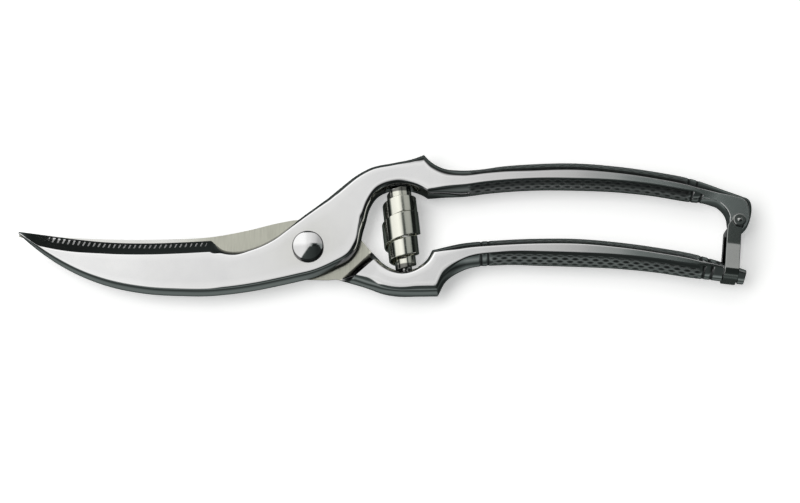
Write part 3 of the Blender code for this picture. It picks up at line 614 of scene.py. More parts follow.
@dataclass(frozen=True)
class MetalFinish:
    """A bare metal: its colour, the tint of its duller patches, its gloss and its grain.

    scratch is the height of its grain, the painted shade the colour of the shade painted into its pits,
    creases and hollows, and raw that of its ground faces. The shares say how far wear, painted shade and
    nicks change its colour, and the dulls how rough they are.
    """

    name: str
    slot: str
    colour: Colour
    shade: Colour
    gloss: Point
    grain: Grain
    scratch: float = 0.02
    scratch_depth: float = 0.0001
    # Colour of the shade painted into pits, creases and hollows.
    painted_shade: Colour = (0.05, 0.05, 0.052)
    raw: Colour = (0.72, 0.72, 0.63)
    raw_shade: float = 0.8
    patch_scale: float = 70.0
    patch_span: Span = (0.35, 0.70, 0.0, 1.0)
    grain_share: float = 0.6
    gloss_range: Point = (0.35, 0.68)
    wear_share: float = 0.6
    wear_gain: float = 1.08
    # How far the painted shade goes towards that colour.
    painted_shade_share: float = 0.92
    nick_shade: float = 0.85
    nick_span: Span = (0.06, 0.21, 1.0, 0.0)
    nick_dull: float = 0.62
    net_dull: float = 0.22
    ground_dull: Span = (0.30, 0.70, 0.26, 0.38)
    # A shadow painted at a rolled strip's feet: full near its seat, gone further off.
    foot_span: Span = (0.0013, 0.0018, 0.9, 0.0)

    def pattern(self, bench: NodeBench, spot: Socket) -> Socket:
        """The finish's grain: fine cross scratches, lines along a rolled strip, or a stamped sheet's bloom.

        Args:
            bench: the material's nodes.
            spot: the place on the piece.

        Returns:
            The grain there, from 0 to 1.
        """
        if self.grain is Grain.ROLLED:
            along = bench.times(bench.mark("along"), ROLL_STRETCH[0])
            across = bench.times(bench.mark("across"), ROLL_STRETCH[1])
            flow = bench.add("ShaderNodeCombineXYZ", X=along, Y=across).outputs[0]
            return bench.noise(flow, 1.0, 4.0, 0.6)
        stretch = POLISH_STRETCH if self.grain is Grain.POLISHED else STAMP_STRETCH
        return bench.noise(bench.stretched(spot, stretch, GRAIN_TURN), 1.0, 5.0, 0.62)

    def make(self) -> bpy.types.Material:
        """Build the material: tint and gloss follow soft patches, grain, wear on creases and shade painted
        into pits, creases and hollows.

        Nicks show where their count along the blade is near a half. A rolled strip has a shadow painted at
        its feet.

        Returns:
            The material.
        """
        material = bpy.data.materials.new(self.name)
        material.use_nodes = True
        bench = NodeBench(material.node_tree)
        spot = bench.add("ShaderNodeTexCoord").outputs["Object"]
        patches = bench.noise(spot, self.patch_scale, 3.0, 0.55)
        grain = self.pattern(bench, spot)
        lines = bench.noise(bench.stretched(spot, GRIND_STRETCH), 1.0, 3.0, 0.6)
        wear, pit, net, tick, count, ground = (
            bench.mark(name) for name in ("wear", "pit", "net", "tick", "count", "ground"))
        saw = bench.math("ABSOLUTE", bench.math("SUBTRACT", bench.math("FRACT", count), 0.5))
        tick = bench.times(tick, bench.span(saw, *self.nick_span))
        if self.grain is Grain.ROLLED:
            # On a rolled strip the pit mark is a shadow painted at its feet, where it stands in its seat.
            pit = bench.span(bench.mark("above"), *self.foot_span)
        worn = tuple(min(1.0, self.wear_gain * value) for value in self.colour)
        tint = bench.blend(bench.span(patches, *self.patch_span), self.colour, self.shade)
        tint = bench.blend(bench.times(wear, self.wear_share), tint, worn)
        cut = bench.blend(lines, self.raw, tuple(self.raw_shade * value for value in self.raw))
        tint = bench.blend(ground, tint, cut)
        # Painted shade: the pit mark darkens pits, creases, hollows and steps towards the shade colour.
        tint = bench.blend(bench.times(pit, self.painted_shade_share), tint, self.painted_shade)
        tint = bench.blend(tick, tint, tuple(self.nick_shade * value for value in self.colour))
        even = 1.0 - self.grain_share
        mottle = bench.math("ADD", bench.times(grain, self.grain_share), bench.times(patches, even))
        dull = bench.math("MAXIMUM", bench.times(net, self.net_dull), bench.times(tick, self.nick_dull))
        dull = bench.math("MAXIMUM", dull, bench.times(ground, bench.span(lines, *self.ground_dull)))
        gloss = bench.math("ADD", bench.span(mottle, *self.gloss_range, *self.gloss), dull)
        relief = bench.add(
            "ShaderNodeBump", Strength=self.scratch, Distance=self.scratch_depth, Height=grain).outputs[0]
        shader = bench.nodes["Principled BSDF"]
        shader.inputs["Metallic"].default_value = 1.0
        bench.links.new(tint, shader.inputs["Base Color"])
        bench.links.new(gloss, shader.inputs["Roughness"])
        bench.links.new(relief, shader.inputs["Normal"])
        return material


CHROME = MetalFinish(
    "lever_chrome", "polished_chrome", (0.80, 0.80, 0.81), (0.76, 0.76, 0.775), (0.05, 0.11), Grain.POLISHED)
NICKEL = MetalFinish(
    "bright_nickel", "bright_plating", (0.76, 0.76, 0.75), (0.70, 0.70, 0.69), (0.06, 0.12), Grain.STAMPED)
# Darker copies of the polished chrome and of the bright plating: painted shade for the strap and the rivet
# head, which mirror dark surroundings.
SHADED_STRAP_CHROME = MetalFinish(
    "shaded_strap_chrome", "polished_chrome", (0.36, 0.37, 0.365), (0.32, 0.33, 0.325), (0.06, 0.12),
    Grain.STAMPED, raw=(0.64, 0.65, 0.64))
SHADED_RIVET_PLATING = MetalFinish(
    "shaded_rivet_plating", "bright_plating", (0.45, 0.46, 0.455), (0.40, 0.41, 0.405), (0.05, 0.10), Grain.STAMPED)
SPRING_STEEL = MetalFinish(
    "spring_steel", "spring_steel", (0.89, 0.89, 0.81), (0.81, 0.81, 0.72), (0.07, 0.16), Grain.ROLLED)
FINISHES: dict[str, bpy.types.Material] = {}


def dressed(piece: Piece, finish: MetalFinish, body: str | None, node: str) -> Piece:
    """Give a piece its finish, let it stand for its CAD node and hang it on its body.

    Args:
        piece: the finished mesh.
        finish: its metal.
        body: the body that carries it, or None where it bends between two.
        node: the CAD node that it stands for.

    Returns:
        The same piece.
    """
    if finish.name not in FINISHES:
        FINISHES[finish.name] = finish.make()
    piece.data.materials.clear()
    piece.data.materials.append(FINISHES[finish.name])
    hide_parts(node)
    if body:
        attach(piece, body)
    return piece


@dataclass(frozen=True)
class Checkering:
    """A net of crossing ridges with slim pits between them, cut into a handle's sloped sides.

    With s along the handle and w down the slope, the pits are ellipses on a staggered lattice: one set is
    centred where s/P is a whole number and a half and w/Q a whole number, the other the other way round.
    P is the pitch along and Q is twice the distance between the rows. The pits are painted dark as shade,
    and near the face shade is painted on the side. The fades are how softly the net and the band of painted
    shade end.
    """

    start: float
    end: float
    pitch: float = 0.0034
    row: float = 0.00112
    pit_length: float = 0.72
    pit_height: float = 0.44
    pit_fade: Point = (0.55, 1.15)
    depth: float = 0.00010
    low: float = 0.03
    high: float = 0.78
    # Strength of the shade painted on the side near the face.
    dim: float = 0.6
    end_fade: float = 0.0012
    low_fade: float = 0.04
    high_fade: Point = (0.05, 0.02)
    dim_fade: Point = (-0.10, 0.05)
    grooves: tuple[float, ...] = ()
    groove_width: float = 0.00026
    groove_depth: float = 0.00022

    def pits(self, along: np.ndarray, down: np.ndarray, share: np.ndarray) -> np.ndarray:
        """How full a pit each point lies in.

        Args:
            along: distances from the pivot, shape (rows, 1).
            down: distances down the slope, shape (rows, columns).
            share: 1 at the face and 0 at the side's land, shape (rows, columns).

        Returns:
            0 on a ridge or outside the net, up to 1 in a pit.
        """
        nearest = np.full(np.broadcast_shapes(along.shape, down.shape), np.inf)
        for shift in (0.0, 0.5):
            column, line = along / self.pitch + shift, down / (2 * self.row) + 0.5 - shift
            beside = 2.0 * (column - np.floor(column) - 0.5) / self.pit_length
            above = 2.0 * (line - np.floor(line) - 0.5) / self.pit_height
            nearest = np.minimum(nearest, np.hypot(beside, above))
        return (1.0 - smoothstep(*self.pit_fade, nearest)) * self.field(along, share)

    def window(self, along: np.ndarray) -> np.ndarray:
        """Where the net lies along the handle: 1 inside it, 0 outside, with soft ends."""
        return smoothstep(self.start, self.start + self.end_fade, along) * (
            1.0 - smoothstep(self.end - self.end_fade, self.end, along))

    def field(self, along: np.ndarray, share: np.ndarray) -> np.ndarray:
        """Where the net lies on the side: 1 inside it, 0 outside, with soft borders."""
        band = smoothstep(self.low - self.low_fade, self.low + self.low_fade, share) * (
            1.0 - smoothstep(self.high - self.high_fade[0], self.high + self.high_fade[1], share))
        return self.window(along) * band

    def shade(self, along: np.ndarray, share: np.ndarray, start: np.ndarray) -> np.ndarray:
        """How much shade is painted on the side above a share of the way up it."""
        return self.dim * self.window(along) * smoothstep(*self.dim_fade, share - start)

    def furrows(self, along: np.ndarray) -> np.ndarray:
        """How deep in a border groove each ring lies, each groove a bell across the handle."""
        bells = np.exp(-0.5 * ((along - np.array(self.grooves)) / self.groove_width) ** 2)
        return bells.max(axis=1, keepdims=True, initial=0.0)


@dataclass(frozen=True)
class Serration:
    """Slanted nicks ground across the bevel's edge: a saw of period P in x + w tan(lean), w from the edge.

    The nicks start at the margin above the edge and end at their length. fades are the shares of the two
    where they begin to grow and to run out.
    """

    start: float
    end: float
    pitch: float = 0.00173
    length: float = 0.0030
    depth: float = 0.00008
    lean: float = 14.5
    share: float = 0.50
    margin: float = 0.0011
    fades: Point = (0.6, 0.7)

    def count(self, x: np.ndarray, up: np.ndarray) -> np.ndarray:
        """Nicks counted along the blade, with half a count in the middle of one."""
        return (x + up * math.tan(math.radians(self.lean)) - self.start) / self.pitch

    def reach(self, x: np.ndarray, up: np.ndarray) -> np.ndarray:
        """Where nicks are cut: 1 in a band along the edge, and 0 past its ends and above and below it.

        Args:
            x: distances along the blade, shape (rows, 1).
            up: distances from the cutting edge up the bevel, shape (rows, columns).

        Returns:
            The share at each point, shape (rows, columns).
        """
        window = smoothstep(self.start, self.start + self.pitch, x) * (
            1.0 - smoothstep(self.end - self.pitch, self.end, x))
        band = smoothstep(self.fades[0] * self.margin, self.margin, up) * (
            1.0 - smoothstep(self.fades[1] * self.length, self.length, up))
        return window * band

    def nicks(self, count: np.ndarray) -> np.ndarray:
        """How deep a nick each count lies in: 0 between the nicks, up to 1 in the middle of one."""
        saw = 1.0 - np.abs(2.0 * (count - np.floor(count)) - 1.0)
        return smoothstep(1.0 - self.share, 1.0, saw)


@dataclass
class SectionGrid:
    """The columns of a lever's section: its faces, rounded creases, sides and lands.

    support is where the face's first column stands, in creases, and the most are the greatest shares of a
    side that its two roundings may take.
    """

    stations: list[Station]
    side: int = 26
    face: int = 4
    over: int = 5
    under: tuple[float, ...] = (0.35, 0.7, 1.0)
    support: float = 2.4
    most_crease: float = 0.3
    most_land: float = 0.2

    def __post_init__(self) -> None:
        """Place the rings: keep the segment that each lies in and its share of the way along it."""
        edge, back = (np.array([getattr(s, side.value) for s in self.stations]) for side in Side)
        pace = np.array([s.pace for s in self.stations[:-1]])
        spans = np.maximum(
            np.linalg.norm(np.diff(edge, axis=0), axis=1), np.linalg.norm(np.diff(back, axis=0), axis=1))
        counts = np.maximum(np.ceil(spans / pace).astype(int), 1)
        segment = np.repeat(np.arange(len(counts)), counts)
        share = (np.arange(counts.sum()) - np.repeat(np.cumsum(counts) - counts, counts)) / counts[segment]
        self.segment, self.share = np.append(segment, len(counts) - 1), np.append(share, 1.0)

    def rail(self, side: Side) -> np.ndarray:
        """A side's outline: cubic Hermite curves through the stations, with slopes that break at corners.

        Args:
            side: which side.

        Returns:
            Points in plan, shape (rings, 2).
        """
        knots = np.array([getattr(s, side.value) for s in self.stations])
        broken = np.array([s.corner is side for s in self.stations])[:, None]
        spans = np.maximum(np.linalg.norm(np.diff(knots, axis=0), axis=1), LEAST_SPAN)[:, None]
        chords = np.diff(knots, axis=0) / spans
        before, after = np.vstack([chords[:1], chords]), np.vstack([chords, chords[-1:]])
        span_before, span_after = np.vstack([[[0.0]], spans]), np.vstack([spans, [[0.0]]])
        whole = (before * span_after + after * span_before) / (span_before + span_after)
        leaving, arriving = np.where(broken, after, whole), np.where(broken, before, whole)
        here, there = self.segment, self.segment + 1
        return hermite(
            knots[here], knots[there], leaving[here], arriving[there], spans[here], self.share[:, None])

    def size(self, name: str) -> np.ndarray:
        """A section's size along the lever: a cubic through the stations that never overshoots them.

        Args:
            name: the field of the stations.

        Returns:
            Values of shape (rings, 1).
        """
        knots = np.array([getattr(s, name) for s in self.stations], float)
        centre = np.array([between(s.edge, s.back, 0.5) for s in self.stations])
        spans = np.maximum(np.linalg.norm(np.diff(centre, axis=0), axis=1), LEAST_SPAN)
        chords = np.diff(knots) / spans
        product = chords[:-1] * chords[1:]
        alike = product > 0.0
        gentle = np.where(alike, 2.0 * product / np.where(alike, chords[:-1] + chords[1:], 1.0), 0.0)
        slopes = np.concatenate([[0.0], gentle, [0.0]])
        here, there = self.segment, self.segment + 1
        return hermite(
            knots[here], knots[there], slopes[here], slopes[there], spans[here], self.share)[:, None]

    def side_profile(self, draft: np.ndarray, half: np.ndarray, top: np.ndarray, land: np.ndarray,
                     fullness: np.ndarray, crease: np.ndarray) -> Marks:
        """One side from its face over a rounded crease down to its land.

        The side lies between a slope and a quarter ellipse: inset d (t + f (1 - cos - t)) and height
        H (t + f (sin - t)), with t from 0 at the land to 1 at the face. The creases are quadratic curves.

        Args:
            draft: how far the face stands in.
            half: height of the face.
            top: height of the land.
            land: size of the land's own rounding.
            fullness: share of the ellipse.
            crease: size of the rounding at the face.

        Returns:
            inset, height, share t and distance down the slope, each of shape (rings, columns), the slope's
            outward direction as inset and height, and which columns lie on the crease.
        """
        def curve(t: np.ndarray) -> tuple[np.ndarray, np.ndarray]:
            """Inset and height at a share of the way up the side."""
            across, up = (1.0 - np.cos(0.5 * math.pi * t)), np.sin(0.5 * math.pi * t)
            return (draft * ((1.0 - fullness) * t + fullness * across),
                    top + (half - top) * ((1.0 - fullness) * t + fullness * up))

        def bend(start: tuple, middle: tuple, end: tuple, u: np.ndarray) -> tuple[np.ndarray, ...]:
            """A quadratic curve from start to end that leans on middle."""
            return tuple(
                (1 - u) ** 2 * a + 2 * u * (1 - u) * b + u ** 2 * c for a, b, c in zip(start, middle, end))

        slope, none = np.hypot(draft, half - top), 0.0 * draft
        near = np.minimum(crease / slope, self.most_crease)
        low = np.minimum(0.5 * land / slope, self.most_land)
        shares = (1.0 - near) + (low - (1.0 - near)) * np.linspace(0.0, 1.0, self.side)[None, :]
        turns = np.linspace(0.0, 1.0, self.over)[None, :]
        over = bend((draft + crease, half), (draft, half), curve(1.0 - near), turns)
        under = bend(curve(low), (none, top), (none, top - 0.5 * land), np.array([self.under]))
        down = curve(shares[:, 1:])
        support = (draft + self.support * crease, half)
        inset, height = (np.hstack([support[i], over[i], down[i], under[i]]) for i in range(2))
        rows, below = len(draft), len(self.under)
        share = np.hstack([np.ones((rows, 1 + self.over)), shares[:, 1:], np.zeros((rows, below))])
        rim = np.concatenate([[0.0, 0.5], np.ones(self.over - 1), np.zeros(self.side - 1 + below)])
        return {
            "inset": inset, "height": height, "share": share, "down": (1.0 - share) * slope,
            "out_inset": -(half - top) / slope, "out_height": draft / slope, "rim": rim[None, :],
        }


@dataclass(frozen=True)
class LeverRails:
    """Outlines and sizes of a lever's rings, one row for each ring.

    edge and back are the outlines in plan and across is the direction from the one to the other. step is 1
    on the slope between the halved and the whole lever, where shade is painted, and lapped and spine are how
    ground the lapped face is, by its edge and by its back.
    """

    edge: np.ndarray
    back: np.ndarray
    across: np.ndarray
    half: np.ndarray
    deep: np.ndarray
    full: np.ndarray
    crease: np.ndarray
    step: np.ndarray
    lapped: np.ndarray
    spine: np.ndarray


@dataclass
class Lever:
    """One forged lever, skinned over its stations.

    Each section is a ring: down the edge's front side, in under its rear side, over the rear face, and up
    the back's two sides to the front face. Below the lap the rear half is pressed flat on the lapped face.
    The net is cut more shallowly on the quiet side, which faces away from the hand. The fields from
    quiet_share on say how far the pits, grooves, wear and ground faces reach.
    """

    name: str
    node: str
    body: str
    stations: list[Station]
    checkering: Checkering
    serration: Serration | None = None
    flip: bool = False
    quiet: Side = Side.EDGE
    quiet_share: float = 0.55
    groove_top: float = 0.97
    groove_fade: Point = (0.02, 0.35)
    wear_width: float = 0.05
    # How softly the side goes from free of painted shade to shaded under its crease.
    unshaded_fade: Point = (0.0, 0.4)
    lap_limit: float = 0.02
    step_power: float = 0.3
    spine_fade: Point = (-0.002, 0.016)
    spine_ground: float = 0.3
    edge_fade: Point = (0.15, 0.30)
    rub: float = 0.3
    rub_reach: float = 1.1
    crease_share: float = 0.19
    crease_limits: Point = (0.00002, 0.1)
    end_radius: float = 0.0003

    def rails(self, grid: SectionGrid) -> LeverRails:
        """Outlines and sizes of all rings.

        Args:
            grid: the section's columns.

        Returns:
            The rows of values that the rings are made from.
        """
        edge, back = (grid.rail(side) for side in Side)
        reach = np.linalg.norm(back - edge, axis=1)[:, None]
        half, deep, crease, edge_draft, back_draft = (
            grid.size(name) for name in ("half", "deep", "crease", "edge_draft", "back_draft"))
        least, most = self.crease_limits
        room = np.clip(self.crease_share * (reach - edge_draft - back_draft), least, most * reach)
        knots = np.array([s.full for s in self.stations])
        full = mix(knots[grid.segment], knots[grid.segment + 1], grid.share)[:, None]
        lapped = 1.0 * (full < self.lap_limit)
        past_heel = smoothstep(*self.spine_fade, -JOINT.heel_distance - edge[:, :1])
        return LeverRails(
            edge, back, (back - edge) / reach, half, deep, full, np.minimum(crease, room),
            np.clip(1.0 - np.abs(2.0 * full - 1.0), 0.0, 1.0) ** self.step_power,
            lapped, lapped * mix(1.0, self.spine_ground, past_heel))

    def flank(self, side: Side, grid: SectionGrid, rails: LeverRails) -> tuple[Marks, ...]:
        """One side of the lever from its faces outwards, with pits, net, wear, nicks and ground face marked.

        Args:
            side: which side.
            grid: the section's columns.
            rails: the rings' outlines and sizes.

        Returns:
            The points and marks of the side's front half, and those of its rear half.
        """
        on_edge = side is Side.EDGE
        start, inward = (rails.edge, rails.across) if on_edge else (rails.back, -rails.across)
        land, draft, fullness, painted_shade, rim, clear, dim_start = (
            grid.size(f"{side.value}_{name}")
            for name in ("land", "draft", "fullness", "painted_shade", "rim", "clear", "dim"))
        floor, full, net, x = JOINT.lap_gap / 2, rails.full, self.checkering, start[:, :1]
        top = floor * (1.0 - full) + land
        shape = grid.side_profile(draft, rails.half, top, land, fullness, rails.crease)
        share = shape["share"]
        furrow = net.furrows(x) * (share < self.groove_top) * full
        trough = smoothstep(*self.groove_fade, furrow)
        pits = net.pits(x, shape["down"], share) * (self.quiet_share if side is self.quiet else 1.0)
        pit, none = np.maximum(pits, trough), np.zeros_like(share)
        depth = np.maximum(pit - trough, 0.0) * net.depth + furrow * net.groove_depth
        tick, count, sunk = none, none, none
        if self.serration and on_edge:
            up = np.hypot(draft, rails.half - top) - shape["down"]
            tick, count = self.serration.reach(x, up), self.serration.count(x, up)
            sunk = self.serration.depth * tick * self.serration.nicks(count)
        front = self.placed(start, inward, shape, depth + sunk)
        rear = self.placed(start, inward, shape, depth)
        rear[:, :, 2] = floor + (-rear[:, :, 2] - floor) * full
        (front if self.flip else rear)[:, :, 2] *= rails.deep
        # Painted shade: the side is darkened in its pits and grooves, under its crease, along its crease and
        # in a band near the face.
        unshaded = smoothstep(*self.unshaded_fade, (share - 1.0) / clear + 1.0)
        dim = net.shade(x, share, dim_start) * (share < 1.0)
        dull = np.maximum.reduce([pit, dim, painted_shade * (1.0 - unshaded), rim * shape["rim"]])
        both = {"net": np.maximum(net.field(x, share), trough),
                "wear": np.exp(-((share - 1.0) / self.wear_width) ** 2)}
        return (
            {"points": front, "pit": dull, **both, "tick": tick, "count": count, "ground": none},
            # The slope of the half lap's step is painted with shade as well.
            {"points": rear, "pit": np.maximum(dull, rails.step), **both, "tick": none, "count": none,
             "ground": none + (rails.lapped if on_edge else rails.spine)},
        )

    def rings(self) -> tuple[np.ndarray, Marks]:
        """The lever's rings about the pivot: its two sides, joined by flat faces.

        Returns:
            The points, shape (rings, columns, 3), and the marks by name, each of shape (rings, columns).
        """
        grid = SectionGrid(self.stations)
        rails = self.rails(grid)
        edge_front, edge_rear = self.flank(Side.EDGE, grid, rails)
        back_front, back_rear = self.flank(Side.BACK, grid, rails)
        spread = np.linspace(0.0, 1.0, grid.face + 2)[None, 1:-1, None]
        behind = mix(edge_rear["points"][:, :1], back_rear["points"][:, :1], spread)
        ahead = mix(back_front["points"][:, :1], edge_front["points"][:, :1], spread)
        bare = np.zeros((len(grid.segment), grid.face))
        lap = np.maximum(rails.spine, rails.lapped * smoothstep(*self.edge_fade, 1.0 - spread[:, :, 0]))
        away = np.linalg.norm(ahead[:, :, :2], axis=2) / (self.rub_reach * JOINT.radius)
        # The rear face is painted with shade on the step's slope.
        rear_face = {"points": behind, "pit": rails.step + bare, "ground": lap}
        front_face = {"points": ahead, "ground": self.rub * np.exp(-away ** 2)}
        layers = {
            key: np.concatenate([
                edge_front[key], edge_rear[key][:, ::-1], rear_face.get(key, bare),
                back_rear[key], back_front[key][:, ::-1], front_face.get(key, bare)], axis=1)
            for key in edge_front
        }
        points = layers.pop("points")
        if self.flip:
            points[:, :, 2] *= -1.0
        return points, layers

    @staticmethod
    def placed(start: np.ndarray, inward: np.ndarray, side: Marks,
               depth: np.ndarray) -> np.ndarray:
        """A side's points in space, sunk by a depth against its outward direction.

        Args:
            start: the outline in plan, shape (rings, 2).
            inward: the direction from the outline to the lever's middle.
            side: a side's profile.
            depth: how far each point is sunk.

        Returns:
            Points of shape (rings, columns, 3).
        """
        inset = side["inset"] - depth * side["out_inset"]
        height = side["height"] - depth * side["out_height"]
        plan = start[:, None, :] + inward[:, None, :] * inset[:, :, None]
        return np.concatenate([plan, height[:, :, None]], axis=2)

    @staticmethod
    def rounded_end(rings: np.ndarray, radius: float, steps: int = 4) -> np.ndarray:
        """Carry the last ring on over a quarter circle, so that the end isn't a knife edge.

        Args:
            rings: all rings, shape (rings, columns, 3).
            radius: the quarter circle's radius.
            steps: how many rings are added.

        Returns:
            The rings with those of the rounded end after them.
        """
        angle = np.linspace(0.0, 0.5 * math.pi, steps + 1)[1:, None, None]
        ahead = rings[-1].mean(axis=0) - rings[-2].mean(axis=0)
        ahead /= np.linalg.norm(ahead)
        inward = rings[-1].mean(axis=0) - rings[-1]
        inward /= np.linalg.norm(inward, axis=1)[:, None]
        extra = rings[-1][None] + radius * (np.sin(angle) * ahead + (1.0 - np.cos(angle)) * inward[None])
        return np.concatenate([rings, extra])

    def build(self, finish: MetalFinish, cutters: list[Piece]) -> Piece:
        """Make the lever, take its pockets out, dress it and hang it on its body.

        Args:
            finish: the lever's metal.
            cutters: closed cutters, which are used up.

        Returns:
            The finished lever.
        """
        rings, marks = self.rings()
        rounded = self.rounded_end(rings, self.end_radius)
        extra = len(rounded) - len(rings)
        marks = {mark: np.vstack([values, np.repeat(values[-1:], extra, axis=0)])
                 for mark, values in marks.items()}
        piece = skinned(self.name, rounded, marks)
        carve(piece, cutters)
        return dressed(piece, finish, self.body, self.node)


def lap_step(last: Station, goal: Station, shares: Point, ease: float = 1.0) -> list[Station]:
    """The foot of the half lap's step, on the lapped face, and its head, where the lever is whole.

    Args:
        last: the station before the step.
        goal: the first station past it.
        shares: where the foot stands between them, on the outer outline and on the inner one.
        ease: how much longer the slope is than the shared one.

    Returns:
        The two stations of the step.
    """
    edge_share, back_share = shares
    edge_slope = ease * JOINT.step_slope / math.dist(last.edge, goal.edge)
    back_slope = ease * JOINT.step_slope / math.dist(last.back, goal.back)
    foot = replace(
        last, edge=between(last.edge, goal.edge, edge_share),
        back=between(last.back, goal.back, back_share), pace=0.0005)
    head = replace(
        goal, edge=between(last.edge, goal.edge, edge_share + edge_slope),
        back=between(last.back, goal.back, back_share + back_slope))
    return [foot, head]


@dataclass
class FrontLever:
    """The lever nearer the viewer: wide lower blade, bone notch, upper bow, upper handle and boss.

    Spans along the blade are shares of its length from the tip. The painted shades, rims and clears are as
    in a station, shade painted on the sides and along their creases, the outer ones for the outside of the
    joint and bow, and the arch ones for the arch inside the bow.
    """

    belly_distance: float = 0.0380
    belly_drop: float = 0.0165
    belly_curve: float = 2.55
    belly_swell: float = 0.0005
    edge_sag: float = 0.0020
    tip_lift: float = 0.00085
    lift_span: float = 0.62
    point_span: float = 0.13
    point_paces: Point = (0.0005, 0.00034)
    heel_pace: float = 0.0004
    blade_growth: Point = (1.6, 0.42)
    bevel_width: float = 0.0051
    bevel_shares: Point = (0.80, 0.73)
    bevel_spread: float = 1.10
    bevel_span: Point = (0.20, 0.46)
    bevel_hollow: float = -0.04
    heel_rise: float = 0.0032
    notch_depth: float = 0.0040
    step_shares: Point = (0.25, 0.66)
    # Shade painted on the outer walls, on the arch inside the bow and along its crease.
    outer_painted_shade: float = 0.4
    arch_painted_shade: float = 0.9
    arch_rim: float = 0.9
    arch_clear: float = 0.7
    arch_draft: float = 0.0026
    arch_fullness: float = 0.8
    bow_fullness: float = 0.85
    spur: float = 0.0036
    spur_angle: float = 74.5
    # Shade painted on the spur's inner side.
    spur_painted_shade: float = 0.85
    bow_start: float = 163.0
    bow_end: float = 54.0
    start_bend: Point = (0.0464, 0.0294)
    start_lifts: Point = (0.00075, -0.00016)
    neck_share: float = 0.22
    boss_draft: float = 0.0009
    boss_crease: float = 0.0001
    boss_pace: float = 0.0004
    # Shade painted along the boss's crease.
    boss_rim: float = 0.4
    shoulder_rise: float = 0.0100
    net: Checkering = Checkering(0.0545, 0.1300, high=0.88, dim=0.85, grooves=(0.1303, 0.1332))
    nicks: Serration = Serration(-JOINT.blade_length + 0.0099, -JOINT.heel_distance - 0.0006)

    def blade(self) -> list[Station]:
        """The blade: an edge that sags to the heel and lifts at the tip, and a belly that falls by a power.

        Returns:
            Stations from the tip to the bone notch.
        """
        rows = []
        for share in (0.0, 0.05, 0.13, 0.28, 0.46, 0.68, 0.85, 1.0):
            x = mix(-JOINT.blade_length, -JOINT.heel_distance, share)
            reach = min(1.0, (x + JOINT.blade_length) / (JOINT.blade_length - self.belly_distance))
            level = mix(JOINT.tip_rise, self.heel_rise, share) - self.edge_sag * math.sin(math.pi * share)
            level += self.tip_lift * math.cos(0.5 * math.pi * min(1.0, share / self.lift_span)) ** 2
            belly = (JOINT.tip_rise + self.belly_drop) * (1.0 - (1.0 - reach) ** self.belly_curve)
            spine = min(JOINT.tip_rise - belly, level - JOINT.tip_width)
            depth, point = level - spine, min(1.0, share / self.point_span)
            bevel = self.bevel_width * read(share, [*zip(self.bevel_span, (self.bevel_spread, 1.0))])
            rows.append(Station(
                (x, level), (x, spine), JOINT.blade_half(share, *self.blade_growth),
                edge_draft=min(bevel, mix(*self.bevel_shares, point) * depth),
                back_draft=min(JOINT.spine_draft, JOINT.spine_share * depth),
                edge_land=JOINT.edge_land, edge_fullness=self.bevel_hollow, back_fullness=JOINT.fullness,
                crease=JOINT.blade_crease, pace=mix(*self.point_paces, point)))
        rows[-1] = replace(rows[-1], pace=self.heel_pace, corner=Side.EDGE)
        return rows

    def joint(self) -> list[Station]:
        """The front half of the joint.

        Returns:
            Stations from the bone notch to the foot of the lap's step.
        """
        heel, low = (-JOINT.heel_distance, self.heel_rise), (-JOINT.heel_distance, -self.belly_drop)
        edge_end = polar(JOINT.pivot, 1.20 * JOINT.radius, 164.0)
        back_end = polar(JOINT.pivot, 1.62 * JOINT.radius, -128.0)
        rows = []
        # The fourth value of each row is the shade painted on the bone notch's wall.
        for along, depth, back_share, painted_shade, draft in (
            (0.20, 0.85, 0.24, 0.98, 0.0023), (0.38, 1.0, 0.45, 0.98, 0.0021),
            (0.66, 0.66, 0.72, 0.7, 0.0017),
        ):
            edge = (mix(heel[0], edge_end[0], along), heel[1] - depth * self.notch_depth)
            x, level = between(low, back_end, back_share)
            back = (x, level - 4.0 * self.belly_swell * back_share * (1.0 - back_share))
            rows.append(Station(
                edge, back, JOINT.half, edge_draft=draft, back_draft=JOINT.spine_draft,
                edge_fullness=JOINT.fullness, back_fullness=JOINT.fullness, edge_painted_shade=painted_shade))
        # The third and sixth values of each row are the shade painted on the outer and the inner side.
        for edge_reach, edge_angle, edge_painted_shade, back_reach, back_angle, back_painted_shade, turn in (
            (1.225, 160.8, 0.7, 1.62, -128.0, 0.0, 0.0), (1.034, 123.3, 0.6, 1.20, -109.0, 0.0, 0.0),
            (1.245, 94.7, 0.4, 1.00, -76.0, 0.2, 0.0), (1.596, 78.7, 0.4, 1.11, -39.0, 0.8, 0.05),
            (1.750, 74.6, 0.4, 1.45, -15.0, 0.9, 0.15), (1.900, 71.2, 0.4, 1.645, -1.7, 0.9, 0.6),
        ):
            rows.append(Station(
                polar(JOINT.pivot, edge_reach * JOINT.radius, edge_angle),
                polar(JOINT.pivot, back_reach * JOINT.radius, back_angle), JOINT.half,
                edge_draft=JOINT.draft, back_draft=mix(JOINT.spine_draft, self.arch_draft, turn),
                edge_fullness=JOINT.fullness, back_fullness=mix(JOINT.fullness, self.arch_fullness, turn),
                edge_painted_shade=edge_painted_shade, back_painted_shade=back_painted_shade, back_clear=self.arch_clear,
                back_rim=self.arch_rim * turn))
        return rows

